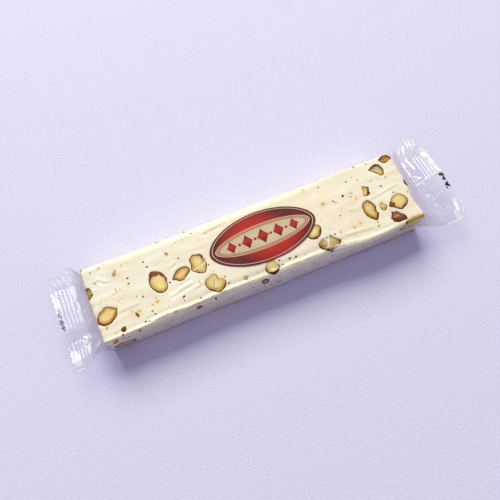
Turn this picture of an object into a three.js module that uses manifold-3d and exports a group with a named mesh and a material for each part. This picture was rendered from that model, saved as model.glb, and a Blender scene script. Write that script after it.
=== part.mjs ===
// A nougat bar in clear flow-wrap film: a soft block of nougat with almonds cut through by the
// knife, the flattened and crimped film at both ends, the film's lengthwise seal under the bar,
// and the printed label on top. The film that hugs the block is too thin to be a solid here.
// Millimetres. +X runs along the bar, +Z is up, and the origin is the middle of the underside.
import * as THREE from 'three';
import { mergeVertices } from 'three/addons/utils/BufferGeometryUtils.js';
import Module from 'manifold-3d';

const wasm = await Module();
wasm.setup();

// ---- Driving dimensions ----

const GAP = 0.3; // clearance between neighbouring solids

// The block of nougat
const BAR_LENGTH = 150;
const BAR_WIDTH = 34.6;
const BAR_HEIGHT = 17;
const EDGE_RADIUS = 1.6;
const ARC_LINE = 2 - Math.SQRT2; // share of the radius that turns a rounded edge by 22.5 degrees
const BAR_CELLS = { along: 18, across: 8, up: 6 }; // cells of its surface grid, edges included
const WIDTH_WAVES = [
  { share: 0.012, length: 145, phase: 0.4 },
  { share: 0.006, length: 60, phase: 2 },
]; // how the hand-cut block varies along its length, as shares of its width
const HEIGHT_WAVES = [
  { share: 0.012, length: 195, phase: 1.2 },
  { share: 0.006, length: 75, phase: 0 },
];
const HEIGHT_TWIST = 1 / 15; // how fast the height waves turn across the bar
const END_WAVE = { share: 0.0018, acrossLength: 44, upLength: 38, phase: 1 };
const TOP_FLARE = 0.045; // how much wider the block is at its top, where the knife has spread it

// Almonds
const NUT_SIDES = 8;
const NUT_RINGS = 6;
const NUT_SINK = 0.3; // how far a cut almond's middle lies below the face, as a share of its depth
const NUT_TAPER = 0.22; // how much narrower one end is than the other
const NUT_LUMPS = 0.06;
const NUT_DEPTH = 0.8; // depth of an almond as a share of its width
const CHIP_SIZE = 2.4; // small nut chips, fused to the nougat
const CHIP_STAND = 0.25; // how far a chip stands out of the face

// The crimped film ends
const FILM_ROOT = BAR_LENGTH / 2 + 0.7; // where the film leaves the block, clear of its swell
const ROOT_INSET = 0.5; // how far the film's first section lies inside the block's outline
const CRIMP_HALF_WIDTH = 24.2;
const CRIMP_THICKNESS = 0.5;
const RIB_COUNT = 4;
const RIB_PITCH = 1.8;
const RIB_RISE = 0.28;
const RIB_MARGIN = 1; // plain film between the last rib and the teeth
const TOOTH_COUNT = 16;
const TOOTH_DEPTH = 1.4;
const FUNNEL_STEPS = 4; // rows between the block's end and the flattened film
const MARK_LENGTH = 8.5; // black registration mark on the cut edge
const MARK_DEPTH = 2;
const MARK_BLANK = 20; // a length well past the cut edge

// The lengthwise seal
const SEAL_WIDTH = 10;
const SEAL_THICKNESS = 0.4;
const SEAL_OFFSET = -2; // its middle, across the bar

// The printed label
const LABEL_CENTRE = [3.5, 1.2];
const LABEL_HALF_LENGTH = 25;
const LABEL_HALF_WIDTH = 12;
const LABEL_THICKNESS = 0.3;
const PANEL_HALF_LENGTH = 22.5;
const PANEL_HALF_WIDTH = 6;
const LABEL_SEGMENTS = 32;
const LABEL_LEAN = 1.15; // 1 is an ellipse, more is leaner at its ends
const PANEL_LEAN = 1.1;

// Almonds on the faces away from the eye, spread by a rule
const HIDDEN_SEED = 11;
const HIDDEN_JITTER = 8;
const HIDDEN_LENGTH = [6.5, 9.5];
const HIDDEN_SLENDER = [0.6, 0.8]; // width as a share of length

// ---- Materials ----

const finish = (color, roughness) => new THREE.MeshStandardMaterial({ color, roughness, metalness: 0 });
const NOUGAT = finish(0xf6ebd0, 0.7);
const FLESH = finish(0xe2c67c, 0.6);
const SKIN = finish(0x8a4f22, 0.75);
const FILM = finish(0xe4e1f0, 0.15);
const PRINT_RED = finish(0xb0302a, 0.3);
const PRINT_CREAM = finish(0xdcc8a2, 0.3);
const PRINT_BLACK = finish(0x1c1b20, 0.4);

// ---- Solids and meshes ----

// A closed geometry as a solid that can be joined and cut
function solidOf(geometry) {
  const bare = new THREE.BufferGeometry();
  bare.setAttribute('position', geometry.getAttribute('position').clone());
  bare.setIndex(geometry.index);
  const merged = mergeVertices(bare, 1e-4);
  const triVerts = new Uint32Array(merged.index.array);
  const vertProperties = merged.getAttribute('position').array;
  return new wasm.Manifold(new wasm.Mesh({ numProp: 3, vertProperties, triVerts }));
}

// A solid's surface as a geometry
function geometryOf(solid) {
  const { vertProperties, triVerts } = solid.getMesh();
  const geometry = new THREE.BufferGeometry();
  geometry.setAttribute('position', new THREE.BufferAttribute(vertProperties, 3));
  geometry.setIndex(new THREE.BufferAttribute(triVerts, 1));
  geometry.computeVertexNormals();
  return geometry;
}

function namedMesh(name, solid, material) {
  const mesh = new THREE.Mesh(geometryOf(solid), material);
  mesh.name = name;
  return mesh;
}

// Moves every vertex of a geometry by a function of its place
function reshape(geometry, move) {
  const place = geometry.getAttribute('position');
  const point = new THREE.Vector3();
  for (let i = 0; i < place.count; i++) {
    point.fromBufferAttribute(place, i);
    move(point);
    place.setXYZ(i, point.x, point.y, point.z);
  }
  return geometry;
}

// Repeatable numbers between 0 and 1
function drawFrom(seed) {
  let state = seed;
  return () => {
    state = (state * 16807) % 2147483647;
    return state / 2147483647;
  };
}

// ---- The block ----

// Places of the grid lines from -half to half, with two lines in each rounded edge
function gridLines(half, cells) {
  const firstInner = -half + EDGE_RADIUS;
  const innerCells = cells - 4;
  const lines = [-half, -half + ARC_LINE * EDGE_RADIUS];
  for (let i = 0; i <= innerCells; i++) {
    lines.push(firstInner * (1 - (2 * i) / innerCells));
  }
  lines.push(half - ARC_LINE * EDGE_RADIUS, half);
  return lines;
}

// Slow waves that make the block as uneven as a hand-cut one; its underside stays flat
function soften(point) {
  const turns = (place, length) => (2 * Math.PI * place) / length;
  const sum = (waves, shift) => {
    const sizes = waves.map((w) => w.share * Math.sin(turns(point.x, w.length) + w.phase + shift));
    return sizes.reduce((total, size) => total + size, 0);
  };
  const flare = TOP_FLARE * (point.z / BAR_HEIGHT) ** 2;
  const wide = 1 + sum(WIDTH_WAVES, 0) + flare;
  const high = 1 + sum(HEIGHT_WAVES, HEIGHT_TWIST * point.y);
  const across = Math.sin(turns(point.y, END_WAVE.acrossLength) + END_WAVE.phase);
  const up = Math.sin(turns(point.z, END_WAVE.upLength));
  point.x *= 1 + END_WAVE.share * (across + up);
  point.y *= wide;
  point.z *= high;
}

function barBlock() {
  const half = new THREE.Vector3(BAR_LENGTH / 2, BAR_WIDTH / 2, BAR_HEIGHT / 2);
  const core = half.clone().subScalar(EDGE_RADIUS);
  const { along, across, up } = BAR_CELLS;
  const lines = [gridLines(half.x, along), gridLines(half.y, across), gridLines(half.z, up)];
  const onLine = (share, list) => list[Math.round(((share + 1) / 2) * (list.length - 1))];
  const geometry = reshape(new THREE.BoxGeometry(2, 2, 2, along, across, up), (point) => {
    point.set(onLine(point.x, lines[0]), onLine(point.y, lines[1]), onLine(point.z, lines[2]));
    const inner = point.clone().clamp(core.clone().negate(), core);
    point.sub(inner).normalize().multiplyScalar(EDGE_RADIUS).add(inner);
    point.z += half.z;
    soften(point);
  });
  return solidOf(geometry);
}

// ---- Almonds ----

// Each face of the block: a point on it, and its own directions along, across and out
const vector = (x, y, z) => new THREE.Vector3(x, y, z);
const FACES = {
  top: { at: vector(0, 0, BAR_HEIGHT), along: vector(1, 0, 0), across: vector(0, 1, 0) },
  under: { at: vector(0, 0, 0), along: vector(1, 0, 0), across: vector(0, -1, 0) },
  front: { at: vector(0, -BAR_WIDTH / 2, 0), along: vector(1, 0, 0), across: vector(0, 0, 1) },
  back: { at: vector(0, BAR_WIDTH / 2, 0), along: vector(-1, 0, 0), across: vector(0, 0, 1) },
  left: { at: vector(-BAR_LENGTH / 2, 0, 0), along: vector(0, -1, 0), across: vector(0, 0, 1) },
  right: { at: vector(BAR_LENGTH / 2, 0, 0), along: vector(0, 1, 0), across: vector(0, 0, 1) },
};

// A lumpy ovoid with its middle at the origin, its length along X and its depth along Z
function ovoid(length, width, depth, phase) {
  const geometry = new THREE.SphereGeometry(1, NUT_SIDES, NUT_RINGS);
  geometry.rotateZ(Math.PI / 2);
  return reshape(geometry, (point) => {
    const around = Math.atan2(point.z, point.y);
    const narrowing = 1 - NUT_TAPER * point.x * Math.abs(point.x);
    const lump = 1 + NUT_LUMPS * Math.sin(3 * around + phase) * (1 - point.x * point.x);
    point.x *= length / 2;
    point.y *= (width / 2) * narrowing * lump;
    point.z *= (depth / 2) * narrowing * lump;
  });
}

// The ovoid of one nut row, in its place in the block and larger by margin all round
function placedNut(nut, margin) {
  const face = FACES[nut.face];
  const out = new THREE.Vector3().crossVectors(face.along, face.across);
  const shown = Math.sqrt(1 - NUT_SINK * NUT_SINK);
  const depth = nut.depth ?? NUT_DEPTH * nut.width;
  const grow = 2 * margin;
  const size = [nut.length / shown + grow, nut.width / shown + grow, depth + grow];
  const geometry = ovoid(...size, nut.along + nut.across);
  geometry.rotateZ(THREE.MathUtils.degToRad(nut.turn));
  geometry.applyMatrix4(new THREE.Matrix4().makeBasis(face.along, face.across, out));
  const place = face.at.clone();
  place.addScaledVector(face.along, nut.along);
  place.addScaledVector(face.across, nut.across);
  place.addScaledVector(out, (-NUT_SINK * depth) / 2);
  geometry.translate(place.x, place.y, place.z);
  return solidOf(geometry);
}

// Almonds by face: where each one is cut, how large it shows, and how far it is turned.
// Skin means that its brown side faces out instead of its cut flesh.
const nut = (face, along, across, length, width, turn, more = {}) => {
  return { face, along, across, length, width, turn, ...more };
};
const SHOWN_NUTS = [
  nut('top', -70.4, -6.4, 9.2, 7.2, 30),
  nut('top', -46, -0.8, 10.2, 7.4, 100),
  nut('top', -35.7, -1.3, 8.2, 5.6, 12),
  nut('top', -27.5, 0.1, 9.2, 7, 96),
  nut('top', -23.8, -10.6, 8.8, 8.2, 160),
  nut('top', 1.5, -13.1, 6.4, 5.6, 10),
  nut('top', 25, -5.4, 7.6, 6.4, 20),
  nut('top', 29, -12.7, 9.8, 6.2, 168),
  nut('top', 53, -5.8, 10.2, 6.2, 95),
  nut('top', 59.2, -5.9, 4.2, 3.4, 95),
  nut('top', 67.3, -6.7, 7.7, 7.5, 30),
  nut('top', 62.9, -12.9, 6.8, 5.4, 165, { skin: true }),
  nut('top', 65, 10.8, 7.4, 4.8, 138),
  nut('top', 71.5, 14.9, 6.2, 4.2, 175, { skin: true }),
  nut('top', 55.2, 3.5, 4.8, 3.6, 75),
  nut('left', -4.8, 14.6, 6, 6, 20),
  nut('right', 0.6, 15.2, 4.4, 4, 0, { skin: true }),
  nut('front', 69, 12.6, 12.6, 9.6, 12, { skin: true, depth: 6.4 }),
  nut('front', -68.4, 4.9, 9.8, 6.2, 176, { depth: 5 }),
  nut('front', -3.3, 13.8, 4.8, 3.2, 105),
];

// Almonds in a band along a face, evenly spread with a seeded jitter
function spreadNuts(draw, face, count, halfRun, middle, halfBand) {
  const between = ([low, high]) => THREE.MathUtils.lerp(low, high, draw());
  const row = [];
  for (let i = 0; i < count; i++) {
    const along = halfRun * ((2 * i + 1) / count - 1) + (draw() - 0.5) * HIDDEN_JITTER;
    const across = middle + (2 * draw() - 1) * halfBand;
    const length = between(HIDDEN_LENGTH);
    const width = length * between(HIDDEN_SLENDER);
    row.push(nut(face, along, across, length, width, 180 * draw()));
  }
  return row;
}

function hiddenNuts() {
  const draw = drawFrom(HIDDEN_SEED);
  return [
    ...spreadNuts(draw, 'back', 6, 66, BAR_HEIGHT / 2, 2.5),
    ...spreadNuts(draw, 'under', 3, 60, 11, 2),
    ...spreadNuts(draw, 'under', 3, 56, -10.5, 2),
  ];
}

// Cuts each almond flush with the block and makes the pocket that it sits in
function cutAlmonds(block) {
  const almonds = [];
  const pockets = [];
  for (const row of [...SHOWN_NUTS, ...hiddenNuts()]) {
    let piece = placedNut(row, 0).intersect(block);
    for (const pocket of pockets) piece = piece.subtract(pocket);
    pockets.push(placedNut(row, GAP));
    almonds.push({ row, piece });
  }
  return { almonds, pockets };
}

// ---- Chips fused to the nougat ----

// Small chips of nut on the top: middle along and across
const CHIPS = [
  [-66, -13.6],
  [-61.6, 9.8],
  [-58.9, -10.8],
  [-38.3, 9.9],
  [-38.3, -11.4],
  [-10.9, -13.1],
  [34.7, 5.3],
];

function withChips(block) {
  let joined = block;
  for (const [x, y] of CHIPS) {
    const chip = new THREE.SphereGeometry(CHIP_SIZE / 2, 6, 4);
    chip.scale(1, 0.8, 0.5);
    chip.rotateZ(x);
    chip.translate(x, y, topHeight(x, y) - CHIP_SIZE / 4 + CHIP_STAND);
    joined = joined.add(solidOf(chip));
  }
  return joined;
}

// Height of the block's top at a place
function topHeight(x, y) {
  const point = new THREE.Vector3(x, y, BAR_HEIGHT);
  soften(point);
  return point.z;
}

// ---- The crimped film ends ----

// Each end's side, its reach from the root to the cut edge, the length of its funnel in the
// middle and how much longer that is at the tips, its middle across, its height, how much its
// tips droop, how far the cut is from square, how far its corners curl back, and its mark's place
const FILM_ENDS = {
  left: {
    side: -1,
    reach: 15,
    funnel: 6.2,
    tipFunnel: 2.2,
    middle: 2,
    height: 9,
    droop: 0.8,
    skew: 0.7,
    curl: 0.4,
    markAt: 1.5,
  },
  right: {
    side: 1,
    reach: 20.9,
    funnel: 6.6,
    tipFunnel: 4.5,
    middle: 2,
    height: 10.5,
    droop: 3.6,
    skew: -1.3,
    curl: 2.2,
    markAt: -1.8,
  },
};

// Rows of a film end from the block outwards: the share of the funnel passed, the millimetres
// of flat film passed, how far the section is flattened, and whether a rib or the teeth are there
function filmRows(end) {
  const rows = [];
  for (let i = 0; i <= FUNNEL_STEPS; i++) {
    const passed = i / FUNNEL_STEPS;
    rows.push({ passed, flat: 0, flattened: Math.sin((passed * Math.PI) / 2), rib: 0 });
  }
  const plainRow = { passed: 1, flattened: 1, rib: 0 };
  const cut = end.reach - end.funnel - TOOTH_DEPTH;
  const firstRib = cut - RIB_COUNT * RIB_PITCH - RIB_MARGIN;
  for (let i = 0; i < RIB_COUNT; i++) {
    rows.push({ ...plainRow, flat: firstRib + i * RIB_PITCH });
    rows.push({ ...plainRow, flat: firstRib + (i + 0.5) * RIB_PITCH, rib: 1 });
  }
  rows.push({ ...plainRow, flat: firstRib + RIB_COUNT * RIB_PITCH });
  rows.push({ ...plainRow, flat: cut, toothed: true });
  return rows;
}

// The upper and lower point of a film end in one row, at u from -1 to 1 across; tooth is 1 at
// the point of a tooth and 0 between two teeth
function filmPoints(end, row, u, tooth) {
  const { lerp } = THREE.MathUtils;
  const { flattened } = row;
  const rootHalfWidth = BAR_WIDTH / 2 - ROOT_INSET;
  const rootHalfHeight = BAR_HEIGHT / 2 - ROOT_INSET;
  const y = u * lerp(rootHalfWidth, CRIMP_HALF_WIDTH, flattened) + end.middle * flattened;
  const outward = row.flat / (end.reach - end.funnel);
  const funnel = (end.funnel + end.tipFunnel * u ** 4 * (1 - outward)) * row.passed;
  const edgeShift = (end.skew * u - end.curl * u ** 10) * outward;
  const teeth = row.toothed ? tooth * TOOTH_DEPTH : 0;
  const x = end.side * (FILM_ROOT + funnel + row.flat + edgeShift + teeth);
  const middle = lerp(BAR_HEIGHT / 2, end.height - end.droop * u * u, flattened);
  const seal = Math.abs(y - SEAL_OFFSET) < SEAL_WIDTH / 2 ? SEAL_THICKNESS : 0;
  const half = CRIMP_THICKNESS / 2 + row.rib * RIB_RISE;
  const upper = lerp(rootHalfHeight, half, flattened);
  const lower = lerp(rootHalfHeight, half + seal, flattened);
  return [vector(x, y, middle + upper), vector(x, y, middle - lower)];
}

// A slab whose upper and lower faces are grids of the same rows and columns
function filmEnd(end) {
  const rows = filmRows(end);
  const columns = 2 * TOOTH_COUNT;
  const corners = [];
  for (const row of rows) {
    for (let c = 0; c <= columns; c++) {
      const [upper, lower] = filmPoints(end, row, (2 * c) / columns - 1, c % 2);
      corners.push(...upper, ...lower);
    }
  }
  const at = (r, c, low) => 2 * (r * (columns + 1) + c) + low;
  const index = [];
  const quad = (a, b, c, d) => index.push(a, b, c, a, c, d);
  for (let r = 0; r + 1 < rows.length; r++) {
    for (let c = 0; c < columns; c++) {
      quad(at(r, c, 0), at(r + 1, c, 0), at(r + 1, c + 1, 0), at(r, c + 1, 0));
      quad(at(r, c, 1), at(r, c + 1, 1), at(r + 1, c + 1, 1), at(r + 1, c, 1));
    }
    quad(at(r, 0, 1), at(r + 1, 0, 1), at(r + 1, 0, 0), at(r, 0, 0));
    quad(at(r, columns, 0), at(r + 1, columns, 0), at(r + 1, columns, 1), at(r, columns, 1));
  }
  const last = rows.length - 1;
  for (let c = 0; c < columns; c++) {
    quad(at(0, c, 0), at(0, c + 1, 0), at(0, c + 1, 1), at(0, c, 1));
    quad(at(last, c, 1), at(last, c + 1, 1), at(last, c + 1, 0), at(last, c, 0));
  }
  if (end.side < 0) index.reverse();
  const geometry = new THREE.BufferGeometry();
  geometry.setAttribute('position', new THREE.Float32BufferAttribute(corners, 3));
  geometry.setIndex(index);
  return solidOf(geometry);
}

// A block over the registration mark, larger by margin on the sides that face the film
function markBlank(end, margin) {
  const inner = FILM_ROOT + end.reach - MARK_DEPTH - margin;
  const blank = new THREE.BoxGeometry(MARK_BLANK, MARK_LENGTH + 2 * margin, BAR_HEIGHT);
  blank.translate(end.side * (inner + MARK_BLANK / 2), end.markAt, end.height);
  return solidOf(blank);
}

// ---- The lengthwise seal ----

function sealStrip(margin) {
  const length = BAR_LENGTH - 2 * (EDGE_RADIUS - margin);
  const strip = new THREE.BoxGeometry(length, SEAL_WIDTH + 2 * margin, SEAL_THICKNESS + 2 * margin);
  strip.translate(0, SEAL_OFFSET, SEAL_THICKNESS / 2);
  return solidOf(strip);
}

// ---- The label ----

// An oval outline that is lean at its two ends
function ovalShape(halfLength, halfWidth, lean) {
  const points = [];
  for (let i = 0; i < LABEL_SEGMENTS; i++) {
    const angle = (2 * Math.PI * i) / LABEL_SEGMENTS;
    const bulge = Math.sign(Math.sin(angle)) * Math.abs(Math.sin(angle)) ** lean;
    points.push(new THREE.Vector2(halfLength * Math.cos(angle), halfWidth * bulge));
  }
  return new THREE.Shape(points);
}

// A thin plate of that outline, lying on the film over the block's top
function labelPlate(shape) {
  const plate = new THREE.ExtrudeGeometry(shape, { depth: LABEL_THICKNESS, bevelEnabled: false });
  plate.translate(...LABEL_CENTRE, GAP);
  reshape(plate, (point) => {
    point.z += topHeight(point.x, point.y);
  });
  return solidOf(plate);
}

// The red field with an opening for the cream panel, and the panel
function labelParts() {
  const fieldShape = ovalShape(LABEL_HALF_LENGTH, LABEL_HALF_WIDTH, LABEL_LEAN);
  const panelShape = ovalShape(PANEL_HALF_LENGTH, PANEL_HALF_WIDTH, PANEL_LEAN);
  fieldShape.holes.push(ovalShape(PANEL_HALF_LENGTH + GAP, PANEL_HALF_WIDTH + GAP, PANEL_LEAN));
  return { field: labelPlate(fieldShape), panel: labelPlate(panelShape) };
}

// ---- The object ----

const nougatBar = new THREE.Group();

const rawBlock = barBlock();
const { almonds, pockets } = cutAlmonds(rawBlock);
let nougat = withChips(rawBlock).subtract(sealStrip(GAP));
for (const pocket of pockets) nougat = nougat.subtract(pocket);
nougatBar.add(namedMesh('nougat', nougat, NOUGAT));

almonds.forEach(({ row, piece }, i) => {
  const name = `almond_${String(i + 1).padStart(2, '0')}`;
  nougatBar.add(namedMesh(name, piece.subtract(sealStrip(GAP)), row.skin ? SKIN : FLESH));
});

for (const [name, end] of Object.entries(FILM_ENDS)) {
  const film = filmEnd(end);
  nougatBar.add(namedMesh(`film_end_${name}`, film.subtract(markBlank(end, GAP)), FILM));
  nougatBar.add(namedMesh(`edge_mark_${name}`, film.intersect(markBlank(end, 0)), PRINT_BLACK));
}

nougatBar.add(namedMesh('film_back_seal', sealStrip(0), FILM));

const label = labelParts();
nougatBar.add(namedMesh('label_field', label.field, PRINT_RED));
nougatBar.add(namedMesh('label_panel', label.panel, PRINT_CREAM));

export default nougatBar;
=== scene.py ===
"""Looks of a nougat bar in clear flow-wrap film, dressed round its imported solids.

The bar is a soft block of nougat with almonds cut through by the knife. A tube of clear film
hugs it, is crimped and cut to a zig-zag at both ends, and carries an oval label in ink.
Lengths are millimetres in the bar's own frame: +X along it, +Y across it to the back, +Z up,
origin in the middle of its underside. They become metres only where a mesh is made.
"""

from __future__ import annotations
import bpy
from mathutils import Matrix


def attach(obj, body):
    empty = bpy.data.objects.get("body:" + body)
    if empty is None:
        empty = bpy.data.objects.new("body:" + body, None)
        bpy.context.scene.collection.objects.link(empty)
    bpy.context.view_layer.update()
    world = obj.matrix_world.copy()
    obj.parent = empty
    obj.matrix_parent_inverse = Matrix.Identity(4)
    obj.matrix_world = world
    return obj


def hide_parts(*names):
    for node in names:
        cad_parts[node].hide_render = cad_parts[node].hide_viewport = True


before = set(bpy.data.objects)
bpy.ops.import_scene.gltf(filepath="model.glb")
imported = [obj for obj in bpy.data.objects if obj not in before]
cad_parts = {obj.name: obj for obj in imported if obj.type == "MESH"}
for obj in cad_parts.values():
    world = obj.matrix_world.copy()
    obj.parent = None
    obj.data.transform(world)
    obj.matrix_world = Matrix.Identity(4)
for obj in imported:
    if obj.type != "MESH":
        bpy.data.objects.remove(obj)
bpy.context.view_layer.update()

import functools
import itertools
import logging
import math
from collections.abc import Callable, Iterable, Sequence
from dataclasses import dataclass, field
from enum import Enum

import bpy
import numpy as np
from mathutils import Matrix, Vector

MM = 0.001
BODY = "root"

Array = np.ndarray
Piece = bpy.types.Object
Mesh = bpy.types.Mesh
Material = bpy.types.Material
Tree = bpy.types.NodeTree
Socket = bpy.types.NodeSocket
Pair = tuple[float, float]
Triple = tuple[float, float, float]
Colour = tuple[float, float, float]
Curve = tuple[tuple[float, ...], ...]
Input = float | tuple | Socket

log = logging.getLogger("nougat_bar")


def srgb(red: int, green: int, blue: int) -> Colour:
    """Turns screen colour values from 0 to 255 into linear shares of light."""
    shares = (value / 255 for value in (red, green, blue))
    return tuple(s / 12.92 if s < 0.04045 else ((s + 0.055) / 1.055) ** 2.4 for s in shares)


# ---- numbers and meshes


@dataclass(frozen=True)
class Lattice:
    """Smooth repeatable noise, from random values on a cubic lattice that repeats."""

    seed: int
    size: int = 32

    def at(self, points: Array, scale: float | Sequence[float]) -> Array:
        """Reads the noise.

        Args:
            points: Places, one row each.
            scale: Length of one lattice cell, for all three axes or one for each.

        Returns:
            Values from -1 to 1.
        """
        values = np.random.default_rng(self.seed).random((self.size,) * 3)
        place = points / np.asarray(scale, float) + 0.37 * self.seed
        cell = np.floor(place).astype(int)
        part = place - cell
        part = part * part * (3 - 2 * part)
        total = np.zeros(len(points))
        for corner in itertools.product((0, 1), repeat=3):
            index = (cell + corner) % self.size
            weight = np.prod(np.where(corner, part, 1 - part), axis=1)
            total += weight * values[index[:, 0], index[:, 1], index[:, 2]]
        return 2 * total - 1


def blend(low: Array | float, high: Array | float, share: Array | float) -> Array:
    """Goes from low to high by share."""
    return low + (high - low) * share


def ease(value: Array | float, low: float, high: float) -> Array:
    """Rises smoothly from 0 at low to 1 at high, which may lie below low."""
    share = np.clip((value - low) / (high - low), 0, 1)
    return share * share * (3 - 2 * share)


def hump(value: Array, middle: float, spread: float) -> Array:
    """A soft hump of height 1 about a middle."""
    return np.exp(-(((value - middle) / spread) ** 2))


def bent(value: Array, power: float | Sequence[float]) -> Array:
    """Raises the size of numbers to a power and keeps their signs."""
    return np.sign(value) * np.abs(value) ** power


def circle(count: int) -> Array:
    """Points round a circle of radius 1 about the origin."""
    angle = np.linspace(0, 2 * np.pi, count, endpoint=False)
    return np.stack([np.cos(angle), np.sin(angle)], axis=1)


def turned(places: Array, degrees: float) -> Array:
    """Turns places about the origin."""
    cos, sin = math.cos(math.radians(degrees)), math.sin(math.radians(degrees))
    return places @ np.array([[cos, sin], [-sin, cos]])


@dataclass
class Skin:
    """Points and faces of a mesh in the making, with values that each point carries."""

    points: Array
    faces: list[Array]
    values: dict[str, Array] = field(default_factory=dict)

    def piece(self, name: str, finish: Material, crease: float = 60.0) -> Piece:
        """Makes the piece, in metres.

        Args:
            name: Its name.
            finish: Its material.
            crease: Edges that turn by more degrees than this stay sharp.

        Returns:
            The piece.
        """
        mesh = bpy.data.meshes.new(name)
        rows = [row for block in self.faces for row in block.tolist()]
        mesh.from_pydata((self.points * MM).tolist(), [], rows)
        carry(mesh, self.values)
        return dress(name, mesh, finish, crease)

    @staticmethod
    def joined(parts: Iterable[Skin]) -> Skin:
        """Joins several skins into one.

        Args:
            parts: Skins that carry the same values.

        Returns:
            One skin with all their points and faces.
        """
        parts = list(parts)
        starts = np.cumsum([0] + [len(part.points) for part in parts])
        faces = [block + start for part, start in zip(parts, starts) for block in part.faces]
        values = {key: np.concatenate([part.values[key] for part in parts]) for key in parts[0].values}
        return Skin(np.concatenate([part.points for part in parts]), faces, values)


def carry(mesh: Mesh, values: dict[str, Array]) -> None:
    """Writes values that a mesh's points carry for its finish.

    Args:
        mesh: The mesh.
        values: The values, by name.
    """
    for key, numbers in values.items():
        carried = mesh.attributes.new(key, "FLOAT", "POINT")
        carried.data.foreach_set("value", np.asarray(numbers, np.float32))


def dress(name: str, mesh: Mesh, finish: Material, crease: float = 60.0) -> Piece:
    """Puts a mesh into the scene, smooth but for its sharp edges.

    Args:
        name: The piece's name.
        mesh: Its mesh, in metres.
        finish: Its material.
        crease: Edges that turn by more degrees than this stay sharp.

    Returns:
        The piece.
    """
    mesh.name = name
    mesh.polygons.foreach_set("use_smooth", np.ones(len(mesh.polygons), bool))
    mesh.set_sharp_from_angle(angle=math.radians(crease))
    mesh.materials.clear()
    mesh.materials.append(finish)
    piece = bpy.data.objects.new(name, mesh)
    bpy.context.scene.collection.objects.link(piece)
    return piece


def mount(piece: Piece, slot: str, *nodes: str) -> None:
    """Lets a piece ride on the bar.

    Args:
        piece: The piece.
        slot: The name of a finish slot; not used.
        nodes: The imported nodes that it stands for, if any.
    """
    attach(piece, BODY)
    if nodes:
        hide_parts(*nodes)
    log.info("%s: %d faces", piece.name, len(piece.data.polygons))


def mesh_points(mesh: Mesh) -> Array:
    """Reads a mesh's points.

    Args:
        mesh: The mesh.

    Returns:
        The points, in millimetres.
    """
    flat = np.zeros(3 * len(mesh.vertices), np.float32)
    mesh.vertices.foreach_get("co", flat)
    return flat.reshape(-1, 3).astype(float) / MM


def set_mesh_points(mesh: Mesh, points: Array) -> None:
    """Writes a mesh's points, given in millimetres."""
    mesh.vertices.foreach_set("co", (points * MM).astype(np.float32).ravel())
    mesh.update()


def carve(target: Piece, tools: Sequence[Piece], operation: str) -> Mesh:
    """Cuts, joins or intersects closed meshes.

    Args:
        target: What is worked on; it isn't changed.
        tools: What it meets.
        operation: DIFFERENCE, UNION or INTERSECT.

    Returns:
        The new mesh.
    """
    group = bpy.data.collections.new("carving_tools")
    for tool in tools:
        group.objects.link(tool)
    cut = target.modifiers.new("carve", "BOOLEAN")
    cut.operand_type = "COLLECTION"
    cut.collection = group
    cut.solver = "MANIFOLD"
    cut.operation = operation
    graph = bpy.context.evaluated_depsgraph_get()
    mesh = bpy.data.meshes.new_from_object(target.evaluated_get(graph), depsgraph=graph)
    target.modifiers.remove(cut)
    bpy.data.collections.remove(group)
    return mesh


def grid_faces(number: Array, flip: bool = False) -> Array:
    """Quads between the neighbours in a grid of point numbers, or the same turned over."""
    corners = (number[:-1, :-1], number[1:, :-1], number[1:, 1:], number[:-1, 1:])
    return np.stack(corners[::-1] if flip else corners, axis=-1).reshape(-1, 4)


def loop_faces(loops: int, count: int, flip: bool = False) -> Array:
    """Quads of a tube of loops with count points each, or the same turned over."""
    number = np.arange(loops * count).reshape(loops, count)
    return grid_faces(np.pad(number, ((0, 0), (0, 1)), "wrap"), flip)


def ball_faces(loops: int, count: int) -> list[Array]:
    """Faces of a closed stack of loops, whose two pole points come last.

    Args:
        loops: How many loops there are.
        count: Points in each loop.

    Returns:
        The quads of its side and the triangles round each pole.
    """
    near = np.arange(count)
    ahead = (near + 1) % count
    pole, last = np.full(count, loops * count), (loops - 1) * count
    ends = np.stack([pole, near, ahead], axis=1), np.stack([pole + 1, last + ahead, last + near], axis=1)
    return [loop_faces(loops, count), *ends]


def box_skin(lines: Sequence[Array]) -> tuple[Array, Array]:
    """The outer skin of a box, with grid lines at given places along its three axes.

    Args:
        lines: Three rising lists of places.

    Returns:
        The points and the quads, which face out.
    """
    outer = np.ones([len(line) for line in lines], bool)
    outer[1:-1, 1:-1, 1:-1] = False
    number = np.full(outer.shape, -1)
    number[outer] = np.arange(outer.sum())
    where = np.nonzero(outer)
    points = np.stack([line[index] for line, index in zip(lines, where)], axis=1)
    quads = []
    for axis, side in itertools.product(range(3), (0, -1)):
        flip = (side == 0) != (axis == 1)
        quads.append(grid_faces(np.take(number, side, axis=axis), flip))
    return points, np.concatenate(quads)


def round_off(points: Array, half: Sequence[float], radius: float) -> tuple[Array, Array]:
    """Rounds the edges of a box or rectangle about the origin.

    Args:
        points: Points on its outline.
        half: Its half sizes.
        radius: The radius of its edges.

    Returns:
        The rounded points and the directions that face out of them.
    """
    core = np.asarray(half, float) - radius
    inner = np.clip(points, -core, core)
    out = points - inner
    out = out / np.maximum(np.linalg.norm(out, axis=1, keepdims=True), 1e-9)
    return inner + radius * out, out


# ---- shader building


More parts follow.
